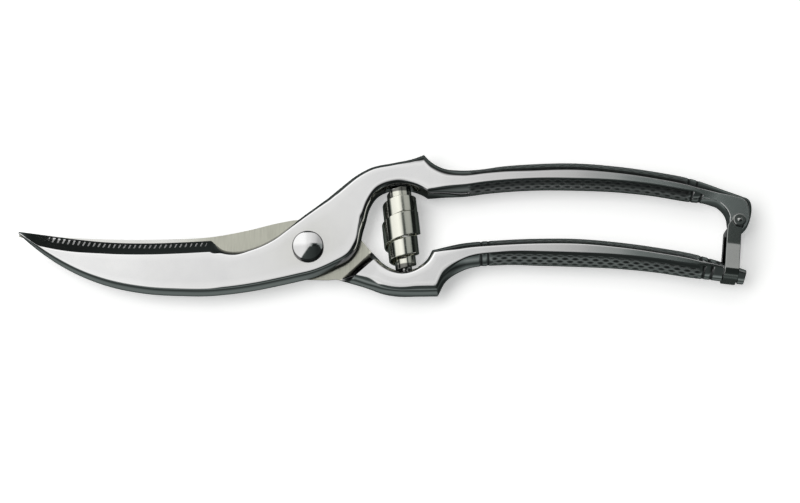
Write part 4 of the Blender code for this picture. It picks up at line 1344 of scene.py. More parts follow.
    def bow(self, last: Station) -> list[Station]:
        """The step of the lap, the upper bow and its spur.

        Args:
            last: the station before them.

        Returns:
            Stations to the corner where the handle starts.
        """
        radius, outer = JOINT.upper_bow_radius, JOINT.upper_bow_radius + JOINT.upper_bow_wall
        goal = Station(
            polar(JOINT.bow, 1.012 * outer, 138.7), polar(JOINT.bow, 0.80 * radius, self.bow_start),
            JOINT.half, 1.0, back_draft=self.arch_draft, back_fullness=self.arch_fullness,
            edge_painted_shade=self.outer_painted_shade, back_painted_shade=self.arch_painted_shade, back_clear=self.arch_clear,
            back_rim=self.arch_rim)
        rows = [*lap_step(last, goal, self.step_shares), goal]
        for outer_share, inner_share, radius_share, clear in (
            (0.32, 0.30, 0.87, 0.7), (0.61, 0.61, 0.97, 0.6), (1.0, 1.0, 1.0, 0.06),
        ):
            wall = mix(1.0, 0.986, outer_share ** 3) * outer
            rows.append(Station(
                polar(JOINT.bow, wall, mix(140.0, JOINT.upper_seat, outer_share)),
                polar(JOINT.bow, radius_share * radius, mix(self.bow_start, JOINT.upper_seat, inner_share)),
                mix(JOINT.half, JOINT.bow_half, 0.5 * outer_share), 1.0,
                back_draft=mix(self.arch_draft, JOINT.bow_draft, outer_share),
                back_fullness=self.bow_fullness, edge_painted_shade=self.outer_painted_shade, back_painted_shade=self.arch_painted_shade,
                back_clear=clear, back_rim=self.arch_rim))
        for spur_share, outer_share, inner_share, draft, rim, corner in (
            (0.4, 0.70, 0.52, 0.0023, 0.485, None), (1.0, 1.0, 0.81, 0.0031, 0.692, Side.EDGE),
            (0.53, 1.30, 1.0, 0.0030, 0.9, Side.BACK),
        ):
            rows.append(Station(
                polar(JOINT.bow, outer + spur_share * self.spur,
                      mix(JOINT.upper_seat, self.spur_angle, outer_share)),
                polar(JOINT.bow, 0.99 * radius, mix(JOINT.upper_seat, self.bow_end, inner_share)),
                mix(JOINT.half, JOINT.bow_half, 0.5 + 0.4 * inner_share), 1.0, draft,
                back_fullness=self.bow_fullness, edge_painted_shade=self.outer_painted_shade, back_painted_shade=self.spur_painted_shade,
                edge_rim=rim, corner=corner))
        return rows

    def handle(self, last: Station) -> list[Station]:
        """The bend past the spur, the upper handle and the boss at its end.

        Args:
            last: the station before them.

        Returns:
            Stations to the lever's end, round the rivet.
        """
        neck_half = mix(JOINT.boss_half, UPPER_HANDLE.half, self.neck_share)
        places = [*np.linspace(UPPER_HANDLE.start, UPPER_HANDLE.neck, 7)]
        places.insert(1, mix(places[0], places[1], 0.62))
        rows = UPPER_HANDLE.stations(places, [(UPPER_HANDLE.neck, neck_half)])
        for i, lift in enumerate(self.start_lifts):
            x, level = rows[i].edge
            draft = rows[i].edge_draft + max(lift, 0.0)
            rows[i] = replace(rows[i], edge=(x, level + lift), edge_draft=draft)
        rows.insert(0, replace(
            last, edge=self.start_bend, back=between(last.back, rows[0].back, 0.475), half=JOINT.bow_half,
            back_draft=mix(last.back_draft, rows[0].back_draft, 0.5), back_fullness=0.55, back_painted_shade=0.68,
            corner=None))
        radius, rise = JOINT.boss_radius, self.shoulder_rise
        for right, top, left, inner, draft in (
            (-0.90, 1.25, -2.10, 0.75, 0.0031), (0.60, 1.00, -1.55, 0.66, 0.0029),
            (1.05, 0.91, -1.36, 0.585, 0.0026), (1.205, 0.79, -1.22, 0.52, 0.0022),
            (1.245, 0.54, -1.03, 0.40, 0.0016), (1.16, 0.32, -0.88, 0.22, 0.0010),
        ):
            rows.append(Station(
                (RIVET[0] + right * radius, RIVET[1] + top * rise),
                (RIVET[0] + left * radius, RIVET[1] + inner * rise), JOINT.boss_half, 1.0, draft,
                self.boss_draft, crease=self.boss_crease, pace=self.boss_pace, edge_rim=self.boss_rim))
        for angle, reach in ((0.0, 0.90), (25.0, 0.80), (50.0, 0.76), (75.0, 0.75)):
            rows.append(Station(
                polar(RIVET, reach * radius, -angle), polar(RIVET, 0.80 * radius, 180.0 + angle),
                JOINT.boss_half, 1.0, 0.5 * self.boss_draft, 0.5 * self.boss_draft,
                crease=self.boss_crease, pace=self.boss_pace))
        return rows

    def build(self, finish: MetalFinish) -> Piece:
        """Make the whole lever with the seat of the spring cut out of its bow.

        Args:
            finish: its metal.

        Returns:
            The finished lever.
        """
        rows = self.blade() + self.joint()
        rows += self.bow(rows[-1])
        rows += self.handle(rows[-1])
        upper, lower = JOINT.seats()
        lever = Lever("front_forging", "front_lever", FRONT_BODY, rows, self.net, self.nicks)
        return lever.build(finish, VoluteSpring().pockets("upper", upper, lower - upper))


@dataclass
class RearLever:
    """The lever behind: narrow upper blade, lower bow, lower handle and the notched tip the latch holds."""

    spine_dip: float = 0.0034
    spine_rise: float = 0.0071
    edge_drop: float = 0.0064
    edge_share: float = 0.93
    edge_curve: float = 2.2
    bevel_width: float = 0.0036
    bevel_share: float = 0.45
    blade_growth: Point = (1.3, 0.5)
    blade_pace: float = 0.0006
    step_shares: Point = (0.12, 0.61)
    step_ease: float = 1.3
    step_draft: float = 0.0026
    bow_crease: float = 0.0007
    bow_start: float = -124.0
    bow_end: float = -32.0
    spur: float = 0.0030
    start_drop: float = 0.0005
    neck_share: float = 0.4
    tip_drafts: Point = (0.57, 0.35)
    tip_rows: int = 3
    net: Checkering = Checkering(0.0617, 0.1322, grooves=(0.0585, 0.0609, 0.1329, 0.1356))

    def blade(self) -> list[Station]:
        """The blade: a spine that dips and rises again, and an edge that falls by a power.

        Returns:
            Stations from the tip to the joint.
        """
        rows = []
        for share in (0.0, 0.06, 0.16, 0.34, 0.55, 0.78, 1.0):
            x = mix(-JOINT.blade_length, -JOINT.heel_distance, share)
            dip = mix(JOINT.tip_rise, self.spine_dip, math.sin(math.pi * min(1.0, 1.35 * share) * 0.5))
            spine = mix(dip, self.spine_rise, 0.35 * share ** 4)
            fall = self.edge_share * (JOINT.tip_rise + self.edge_drop)
            level = JOINT.tip_rise - JOINT.tip_width - fall * (1.0 - (1.0 - share) ** self.edge_curve)
            depth = spine - level
            rows.append(Station(
                (x, level), (x, spine), JOINT.blade_half(share, *self.blade_growth),
                edge_draft=min(self.bevel_width, self.bevel_share * depth),
                back_draft=min(JOINT.spine_draft, JOINT.spine_share * depth), edge_land=JOINT.edge_land,
                edge_fullness=0.0, back_fullness=JOINT.fullness, crease=JOINT.blade_crease,
                pace=self.blade_pace))
        return rows

    def joint(self) -> list[Station]:
        """The rear half of the joint.

        Returns:
            Stations from the blade to the foot of the lap's step.
        """
        outline = [(
            (-0.66 * JOINT.heel_distance, -self.edge_drop), (-0.62 * JOINT.heel_distance, self.spine_rise))]
        for edge_reach, edge_angle, back_reach, back_angle in (
            (1.33, -140.0, 1.38, 136.0), (1.06, -108.0, 1.12, 108.0), (1.06, -78.0, 1.03, 78.0),
            (1.26, -56.0, 1.10, 48.0), (1.40, -47.0, 1.68, 17.0),
        ):
            outline.append((
                polar(JOINT.pivot, edge_reach * JOINT.radius, edge_angle),
                polar(JOINT.pivot, back_reach * JOINT.radius, back_angle)))
        return [
            Station(edge, back, JOINT.half, edge_draft=JOINT.draft, back_draft=JOINT.spine_draft,
                    edge_fullness=JOINT.fullness, back_fullness=JOINT.fullness)
            for edge, back in outline
        ]

    def bow(self, last: Station) -> list[Station]:
        """The step of the lap, the lower bow and its spur.

        Args:
            last: the station before them.

        Returns:
            Stations to the corner where the handle starts.
        """
        radius, outer = JOINT.lower_bow_radius, JOINT.lower_bow_radius + JOINT.lower_bow_wall
        goal = Station(
            polar(JOINT.bow, 1.018 * outer, -122.0), polar(JOINT.bow, 0.90 * radius, self.bow_start),
            JOINT.half, 1.0, edge_draft=self.step_draft)
        rows = [*lap_step(last, goal, self.step_shares, self.step_ease), goal]
        for outer_angle, inner_share, radius_share, draft in (
            (-115.0, 0.24, 0.93, 0.0023), (-108.0, 0.48, 0.96, 0.0020), (-93.0, 1.0, 1.0, 0.0017),
        ):
            rows.append(Station(
                polar(JOINT.bow, outer, outer_angle),
                polar(JOINT.bow, radius_share * radius, mix(self.bow_start, JOINT.lower_seat, inner_share)),
                mix(JOINT.half, JOINT.bow_half, 0.5 * inner_share), 1.0, draft, crease=self.bow_crease))
        for spur_share, outer_angle, inner_share, radius_share, corner in (
            (0.23, -76.0, 0.42, 0.97, None), (1.0, -61.6, 0.69, 0.935, Side.EDGE),
            (0.1, -49.0, 1.0, 0.88, Side.BACK),
        ):
            rows.append(Station(
                polar(JOINT.bow, outer + spur_share * self.spur, outer_angle),
                polar(JOINT.bow, radius_share * radius, mix(JOINT.lower_seat, self.bow_end, inner_share)),
                mix(JOINT.half, JOINT.bow_half, 0.5 + 0.4 * inner_share), 1.0, crease=self.bow_crease,
                corner=corner))
        return rows

    def handle(self) -> list[Station]:
        """The lower handle and its tip.

        Returns:
            Stations from the bow to the lever's end.
        """
        neck_half = mix(JOINT.catch_half, LOWER_HANDLE.half, self.neck_share)
        places = [*np.linspace(LOWER_HANDLE.start, LOWER_HANDLE.neck, 7),
                  *np.linspace(LOWER_HANDLE.neck, CATCH_X, self.tip_rows + 1)[1:]]
        rows = LOWER_HANDLE.stations(places, [(LOWER_HANDLE.neck, neck_half), (CATCH_X, JOINT.catch_half)])
        for i, lift in enumerate((-self.start_drop, self.start_drop)):
            rows[i] = replace(rows[i], edge=(rows[i].edge[0], rows[i].edge[1] + lift))
        for i in range(-self.tip_rows, 0):
            edge, back = (share * math.dist(rows[i].edge, rows[i].back) for share in self.tip_drafts)
            rows[i] = replace(rows[i], edge_draft=edge, back_draft=back)
        return rows

    def build(self, finish: MetalFinish) -> Piece:
        """Make the whole lever with the spring's seat and the latch's notch cut out.

        Args:
            finish: its metal.

        Returns:
            The finished lever.
        """
        rows = self.blade() + self.joint()
        rows += self.bow(rows[-1]) + self.handle()
        upper, lower = JOINT.seats()
        lever = Lever("rear_forging", "rear_lever", REAR_BODY, rows, self.net, flip=True, quiet=Side.BACK)
        pockets = VoluteSpring().pockets("lower", lower, upper - lower)
        return lever.build(finish, [*pockets, LatchStirrup().notch()])


@dataclass
class VoluteSpring:
    """The double volute spring between the bows, with the stud inside each end."""

    turns: float = 2.0
    mid_radius: float = 0.0060
    end_radius: float = 0.0032
    upper_end: float = 0.0036
    taper: float = 1.45
    upper_taper: float = 2.2
    closing: float = 0.45
    nest: float = 1.8
    thickness: float = 0.0006
    rounding: float = 0.00018
    width: float = 0.0086
    end_width: float = 0.0034
    gap: float = 0.00048
    sway: tuple[float, ...] = (0.00115, 0.00078, -0.00138, 0.0)
    steps: int = 769
    bright_edge: float = 0.82
    stud_clearance: float = 0.0006
    stud_height: float = 0.0042
    stud_dome: float = 0.3
    stud_rounding: float = 0.0003
    stud_shank: float = 0.0026
    stud_depth: float = 0.0040
    stud_sides: int = 48
    seat_sides: int = 64

    def half_length(self) -> float:
        """Half the height of the spring between its seats."""
        upper, lower = JOINT.seats()
        return float(np.linalg.norm(lower - upper)) / 2 - JOINT.fit_gap

    def centre_line(self, turns: np.ndarray) -> tuple[np.ndarray, np.ndarray, np.ndarray]:
        """Radius, height and width of the strip, counted in turns from the spring's middle.

        The radius falls with a power of the turn. Within one turn the strip climbs by its own width, so
        that its edges pass, and past that it lies inside the turn before and runs on to the seat, where it
        closes with part of a level turn.

        Args:
            turns: turns from the middle, negative towards the upper seat.

        Returns:
            Radius, height along the axis and width, each of the same shape.
        """
        turn = np.abs(turns)
        wound = np.minimum(turn, self.turns)
        end = np.where(turns < 0.0, self.upper_end, self.end_radius)
        taper = np.where(turns < 0.0, self.upper_taper, self.taper)
        radius = self.mid_radius - (self.mid_radius - end) * (wound / self.turns) ** taper
        narrowing = (self.width - self.end_width) / self.turns
        width = self.width - narrowing * wound
        advance = self.width - narrowing / 2 + self.gap
        first_edge = advance + (self.width - narrowing) / 2
        past = np.maximum(wound - 1.0, 0.0) / (self.turns - 1.0)
        nested = first_edge + (self.half_length() - first_edge) * past ** self.nest - width / 2
        return radius, np.sign(turns) * np.where(turn < 1.0, advance * turn, nested), width

    def drift(self, height: np.ndarray) -> np.ndarray:
        """How far right of the line between the seats a coil stands: a cubic in its share of the height."""
        return np.polyval(self.sway, height / self.half_length())[..., None] * np.array([1.0, 0.0, 0.0])

    def strip(self) -> Piece:
        """The strip: a thin rounded section carried along the winding.

        Returns:
            The bare strip.
        """
        upper, lower = JOINT.seats()
        axis = (lower - upper) / np.linalg.norm(lower - upper)
        left = np.cross(axis, UPWARD)
        turns = np.linspace(-self.turns - self.closing, self.turns + self.closing, self.steps)
        radius, height, width = self.centre_line(turns)
        angle = 2.0 * math.pi * turns
        outward = np.cos(angle)[:, None] * UPWARD + np.sin(angle)[:, None] * left
        ones = np.ones_like(turns)
        section = round_section(width, self.thickness * ones, self.rounding * ones)
        across, through = section[:, :, 0], section[:, :, 1:]
        spot = (upper + lower) / 2 + height[:, None] * axis + self.drift(height)
        rings = (spot[:, None] + section[:, :, :1] * axis
                 + (radius[:, None, None] + through) * outward[:, None])
        # above, the distance from the nearer seat, sets the shadow painted at the strip's feet.
        marks = {
            "along": np.repeat((turns * 2.0 * math.pi * self.mid_radius)[:, None], across.shape[1], axis=1),
            "across": across,
            "wear": smoothstep(self.bright_edge, 1.0, 2.0 * np.abs(across) / width[:, None]),
            "above": self.half_length() - np.abs(height[:, None] + across),
        }
        return skinned("volute_strip", rings, marks)

    def stud(self, name: str, seat: np.ndarray, direction: np.ndarray) -> Piece:
        """A round stud set into the bow, with a domed end inside the spring.

        Args:
            name: its name.
            seat: its place on the bow.
            direction: where it points.

        Returns:
            The bare stud.
        """
        shank, radius = self.stud_shank / 2, self.end_radius - self.thickness / 2 - self.stud_clearance
        gap, dome = JOINT.fit_gap, self.stud_dome * self.stud_height
        profile = [(POLE, -self.stud_depth), (shank, -self.stud_depth), (shank, gap), (radius, gap)]
        profile += dome_profile(radius, gap + self.stud_height - dome, dome, self.stud_rounding)
        return skinned(name, turned_rings(profile, direction, seat, self.stud_sides))

    def pockets(self, name: str, seat: np.ndarray, direction: np.ndarray) -> list[Piece]:
        """Cutters for a stud's hole and the coil's flat seat in a bow, from the same sizes as the spring.

        Args:
            name: the start of the cutters' names.
            seat: the spring's place on the bow.
            direction: where the spring stands from there.

        Returns:
            The two cutters.
        """
        half, end = self.half_length(), math.copysign(1.0, -direction[1])
        bore, deep = self.stud_shank / 2 + JOINT.fit_gap, self.stud_depth + JOINT.fit_gap
        radius, height, width = (float(v[0]) for v in self.centre_line(np.array([-end])))
        above = half - abs(height) - width / 2
        narrow = (self.upper_end if end > 0.0 else self.end_radius) + self.thickness + 2 * JOINT.fit_gap
        wide, top = radius + self.thickness + JOINT.fit_gap, above + self.width / 2
        hole = [(POLE, -deep), (bore, -deep), (bore, above), (POLE, above)]
        flat = [(POLE, 0.0), (narrow, 0.0), (narrow, above), (wide, above), (wide, top), (POLE, top)]
        middle = seat + self.drift(np.array(-end * half))
        return [skinned(f"{name}_hole", turned_rings(hole, direction, seat, self.stud_sides)),
                skinned(f"{name}_seat", turned_rings(flat, direction, middle, self.seat_sides))]

    def build(self, strip_finish: MetalFinish, stud_finish: MetalFinish) -> list[Piece]:
        """Make the strip and the two studs.

        Args:
            strip_finish: the strip's metal.
            stud_finish: the studs' metal.

        Returns:
            The three pieces.
        """
        upper, lower = JOINT.seats()
        strip = dressed(self.strip(), strip_finish, None, "volute_spring")
        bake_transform(strip)
        above = self.stud("upper_stud", upper, lower - upper)
        below = self.stud("lower_stud", lower, upper - lower)
        return [strip, dressed(above, stud_finish, FRONT_BODY, "upper_spring_stud"),
                dressed(below, stud_finish, REAR_BODY, "lower_spring_stud")]


@dataclass
class PivotSet:
    """The bolt, washer and slotted nut that hold the levers together."""

    shank: float = 0.0060
    shank_chamfer: float = 0.0003
    head: float = 0.0106
    head_chamfer: float = 0.0001
    head_rounding: float = 0.0004
    rim: float = 0.0012
    rim_painted_shade: float = 0.9
    rim_width: float = 0.0003
    dome: float = 0.0009
    washer: float = 0.0110
    washer_thickness: float = 0.0005
    nut: float = 0.0100
    nut_thickness: float = 0.0015
    nut_bevel: float = 0.25
    nut_turn: float = 0.3
    slot_width: float = 0.0014
    slot_depth: float = 0.0007
    chamfer: float = 0.00012
    head_sides: int = 128

    def levels(self) -> Triple:
        """Heights of the head's seat and of the undersides of the washer and the nut."""
        seat, low = JOINT.half + JOINT.fit_gap, -JOINT.half - JOINT.fit_gap - self.washer_thickness
        return seat, low, low - JOINT.fit_gap - self.nut_thickness

    def bolt(self) -> Piece:
        """The bolt: a shank under a low domed head, with shade painted on its rim.

        Returns:
            The bare bolt.
        """
        seat, _, nut_low = self.levels()
        shank, head, chamfer = self.shank / 2, self.head / 2, self.shank_chamfer
        end = nut_low + self.slot_depth + JOINT.fit_gap
        profile = [(POLE, end), (shank - chamfer, end), (shank, end + chamfer), (shank, seat),
                   (head - self.head_chamfer, seat), (head, seat + self.head_chamfer)]
        profile += dome_profile(head, seat + self.rim, self.dome, self.head_rounding)
        rings = turned_rings(profile, UPWARD, np.zeros(3), self.head_sides)
        # Shade is painted on the head's outer rim.
        on_rim = np.array(profile)[:, :1] > head - self.rim_width
        return skinned("pivot_head", rings, {"pit": self.rim_painted_shade * on_rim * np.ones((1, self.head_sides))})

    def spring_washer(self) -> Piece:
        """The washer under the nut: a flat ring with its outer corners broken.

        Returns:
            The bare washer.
        """
        seat, low, _ = self.levels()
        inner, outer, soft = self.shank / 2 + JOINT.fit_gap, self.washer / 2, self.chamfer
        ring = [(inner, low), (outer - soft, low), (outer, low + soft), (outer, -seat - soft),
                (outer - soft, -seat), (inner, -seat)]
        return skinned("pivot_spring_washer", turned_rings(ring, UPWARD, np.zeros(3)), closed=True)

    def slotted_nut(self) -> Piece:
        """The round nut at the back, with a bevel and a slot for a driver.

        Returns:
            The bare nut.
        """
        low = self.levels()[2]
        inner, outer, soft = self.shank / 2 + JOINT.fit_gap, self.nut / 2, self.chamfer
        bevel, top = self.nut_bevel * self.nut_thickness, low + self.nut_thickness
        turn = self.nut_turn * bevel
        ring = [(inner, low), (outer - bevel, low), (outer - turn, low + turn), (outer, low + bevel),
                (outer, top - soft), (outer - soft, top), (inner, top)]
        piece = skinned("pivot_slotted_nut", turned_rings(ring, UPWARD, np.zeros(3)), closed=True)
        slot = np.array([1.5 * self.nut, self.slot_width, 2.0 * self.slot_depth])
        carve(piece, [bar("nut_slot", np.array([0.0, 0.0, low]), np.eye(3), slot)])
        return piece

    def build(self, head_finish: MetalFinish, plain_finish: MetalFinish) -> list[Piece]:
        """Make the three pieces on the pivot axis.

        Args:
            head_finish: the bolt's metal.
            plain_finish: that of the washer and the nut.

        Returns:
            The three pieces.
        """
        bolt, washer, nut = self.bolt(), self.spring_washer(), self.slotted_nut()
        return [dressed(bolt, head_finish, FRONT_BODY, "pivot_bolt"),
                dressed(washer, plain_finish, FRONT_BODY, "pivot_washer"),
                dressed(nut, plain_finish, FRONT_BODY, "pivot_nut")]


@dataclass
class LatchStirrup:
    """The bent strap that swings on the boss's rivet and hooks under the lower handle's tip.

    knee is how far below the rivet the legs bend out, in radii of the boss, and step is where, in the same
    measure, they step aside by the offset.
    """

    lean: float = 7.0
    offset: float = 0.00143
    step: Point = (-0.2, 0.65)
    width: float = 0.0048
    thickness: float = 0.0012
    rounding: float = 0.0002
    bend: float = 0.0024
    slack: float = 0.0012
    knee: float = 2.05
    knee_rounding: float = 0.0003
    catch_depth: float = 0.0014
    end_share: float = 0.06
    bright_edge: float = 0.8
    # Shade painted on the strap's inner faces, and where it fades in.
    inner_painted_shade: float = 0.85
    inner_fade: Point = (0.3, 0.9)
    rub: float = 0.6
    rub_fade: Point = (0.45, 0.80)
    rivet_head: float = 0.0044
    rivet_rise: float = 0.0008
    rivet_point: float = 0.0009
    rivet_shank: float = 0.0024
    rivet_chamfer: float = 0.0001
    rivet_rounding: float = 0.00025
    rivet_land: float = 0.0004
    rivet_rises: Triple = (0.4, 0.72, 0.28)
    point_share: float = 0.9
    point_rounding: float = 0.00008
    rivet_sides: int = 72

    def directions(self) -> tuple[np.ndarray, np.ndarray, float, float]:
        """How the strap hangs, with the underside of the handle found in a few steps along the lean.

        Returns:
            The directions down the strap and beside it, and how far down from the rivet the underside of
            the lower handle and the top of the crossbar lie.
        """
        lean = math.radians(self.lean)
        down = np.array([-math.sin(lean), -math.cos(lean), 0.0])
        side = np.array([math.cos(lean), -math.sin(lean), 0.0])
        under = RIVET[1] - LOWER_HANDLE.point(RIVET[0], 1)[1]
        for _ in range(4):
            below = LOWER_HANDLE.point(RIVET[0] + down[0] * under - self.offset, 1)[1]
            under = (below - RIVET[1]) / down[1]
        return down, side, under, under - self.catch_depth + JOINT.fit_gap

    def notch(self) -> Piece:
        """The notch in the lower handle's tip where the crossbar lies.

        Returns:
            Its cutter.
        """
        down, side, under, low = self.directions()
        top, bottom = low - JOINT.fit_gap, under + self.catch_depth
        middle = RIVET_SPOT + down * (top + bottom) / 2 - self.offset * side
        sizes = np.array([self.width + 2 * JOINT.fit_gap, bottom - top, 4 * JOINT.catch_half])
        return bar("catch_notch", middle, np.array([side, down, np.cross(side, down)]), sizes)

    def path(self, low: float) -> np.ndarray:
        """The strap's middle line, from the front end to the back one.

        A straight leg, a crisp bend outwards, a straight leg and a quarter circle, mirrored for the back.

        Args:
            low: how far below the rivet the crossbar lies.

        Returns:
            Distances below the rivet and heights, shape (points, 2).
        """
        half, soft = self.thickness / 2, self.knee_rounding
        top, wide = JOINT.boss_half + JOINT.fit_gap + half, JOINT.catch_half + self.slack + half
        floor = low + half
        end = -0.5 * self.width * np.cos(np.linspace(0.0, 0.5 * math.pi, 16))
        start, stop = self.knee * JOINT.boss_radius, floor - self.bend
        leg = np.concatenate([end[:-1], np.linspace(0.0, stop, 90)])
        past = soft * np.logaddexp(0.0, (leg - start) / soft)
        height = mix(top, wide, np.minimum(past / (stop - start), 1.0))
        turn = np.linspace(0.0, 0.5 * math.pi, 14)[1:]
        bent = [stop + self.bend * np.sin(turn), wide - self.bend + self.bend * np.cos(turn)]
        front = np.vstack([np.stack([leg, height], axis=1), np.stack(bent, axis=1)])
        return np.vstack([front, front[::-1] * [1.0, -1.0]])

    def strap(self) -> Piece:
        """The strap: a rounded flat section carried along its path, with a round end about each rivet head.

        By the rivet both legs step to the left by the offset.

        Returns:
            The bare strap.
        """
        down, side, _, low = self.directions()
        path = self.path(low)
        below, half = path[:, :1], self.width / 2
        along = np.gradient(path, axis=0)
        along /= np.linalg.norm(along, axis=1)[:, None]
        outward = np.stack([-along[:, 1], along[:, 0]], axis=1)
        reach = np.where(path[:, 0] >= 0.0, half, np.sqrt(np.maximum(half ** 2 - path[:, 0] ** 2, 0.0)))
        reach = np.maximum(reach, self.end_share * half)
        section = round_section(
            2.0 * reach, np.full(len(path), self.thickness), np.minimum(self.rounding, 0.5 * reach))
        across, through = section[:, :, 0], section[:, :, 1]
        spot = path[:, None, :] + section[:, :, 1:] * outward[:, None, :]
        aside = self.offset * smoothstep(*(share * JOINT.boss_radius for share in self.step), below)
        rings = (RIVET_SPOT + spot[:, :, :1] * down + (across - aside)[:, :, None] * side
                 + spot[:, :, 1:] * UPWARD)
        bent = (below - (below.max() - self.bend)) / self.bend
        # pit paints shade on the strap's inner faces, which face the boss and each other.
        marks = {
            "wear": smoothstep(self.bright_edge, 1.0, np.abs(across) / half),
            "pit": self.inner_painted_shade * smoothstep(*self.inner_fade, -2.0 * through / self.thickness),
            "ground": self.rub * smoothstep(*self.rub_fade, bent) * np.ones_like(across),
        }
        return skinned("latch_strap", rings, marks)

    def rivet(self) -> Piece:
        """A shank through boss and strap, with a flat head and a peened point on each side.

        Returns:
            The bare rivet.
        """
        shank, head, soft = self.rivet_shank / 2, self.rivet_head / 2, self.rivet_rounding
        seat = JOINT.boss_half + self.thickness + 2 * JOINT.fit_gap
        rise, base, dome = (share * self.rivet_rise for share in self.rivet_rises)
        flat = seat + rise + soft
        upper = [(shank, seat), (head - self.rivet_chamfer, seat), (head, seat + self.rivet_chamfer)]
        upper += arc_profile((head - soft, seat + rise), soft, 0.0, 88.0)
        upper += [(head - self.rivet_land, flat), (self.rivet_point, flat)]
        point = self.point_share * self.rivet_point
        upper += dome_profile(point, seat + base, dome, self.point_rounding, 10)
        profile = [(radius, -height) for radius, height in upper[::-1]] + upper
        return skinned("latch_pin", turned_rings(profile, UPWARD, RIVET_SPOT, self.rivet_sides))

    def build(self, strap_finish: MetalFinish, rivet_finish: MetalFinish) -> list[Piece]:
        """Make the strap and its rivet."""
        return [dressed(self.strap(), strap_finish, LATCH_BODY, "latch_stirrup"),
                dressed(self.rivet(), rivet_finish, FRONT_BODY, "latch_rivet")]


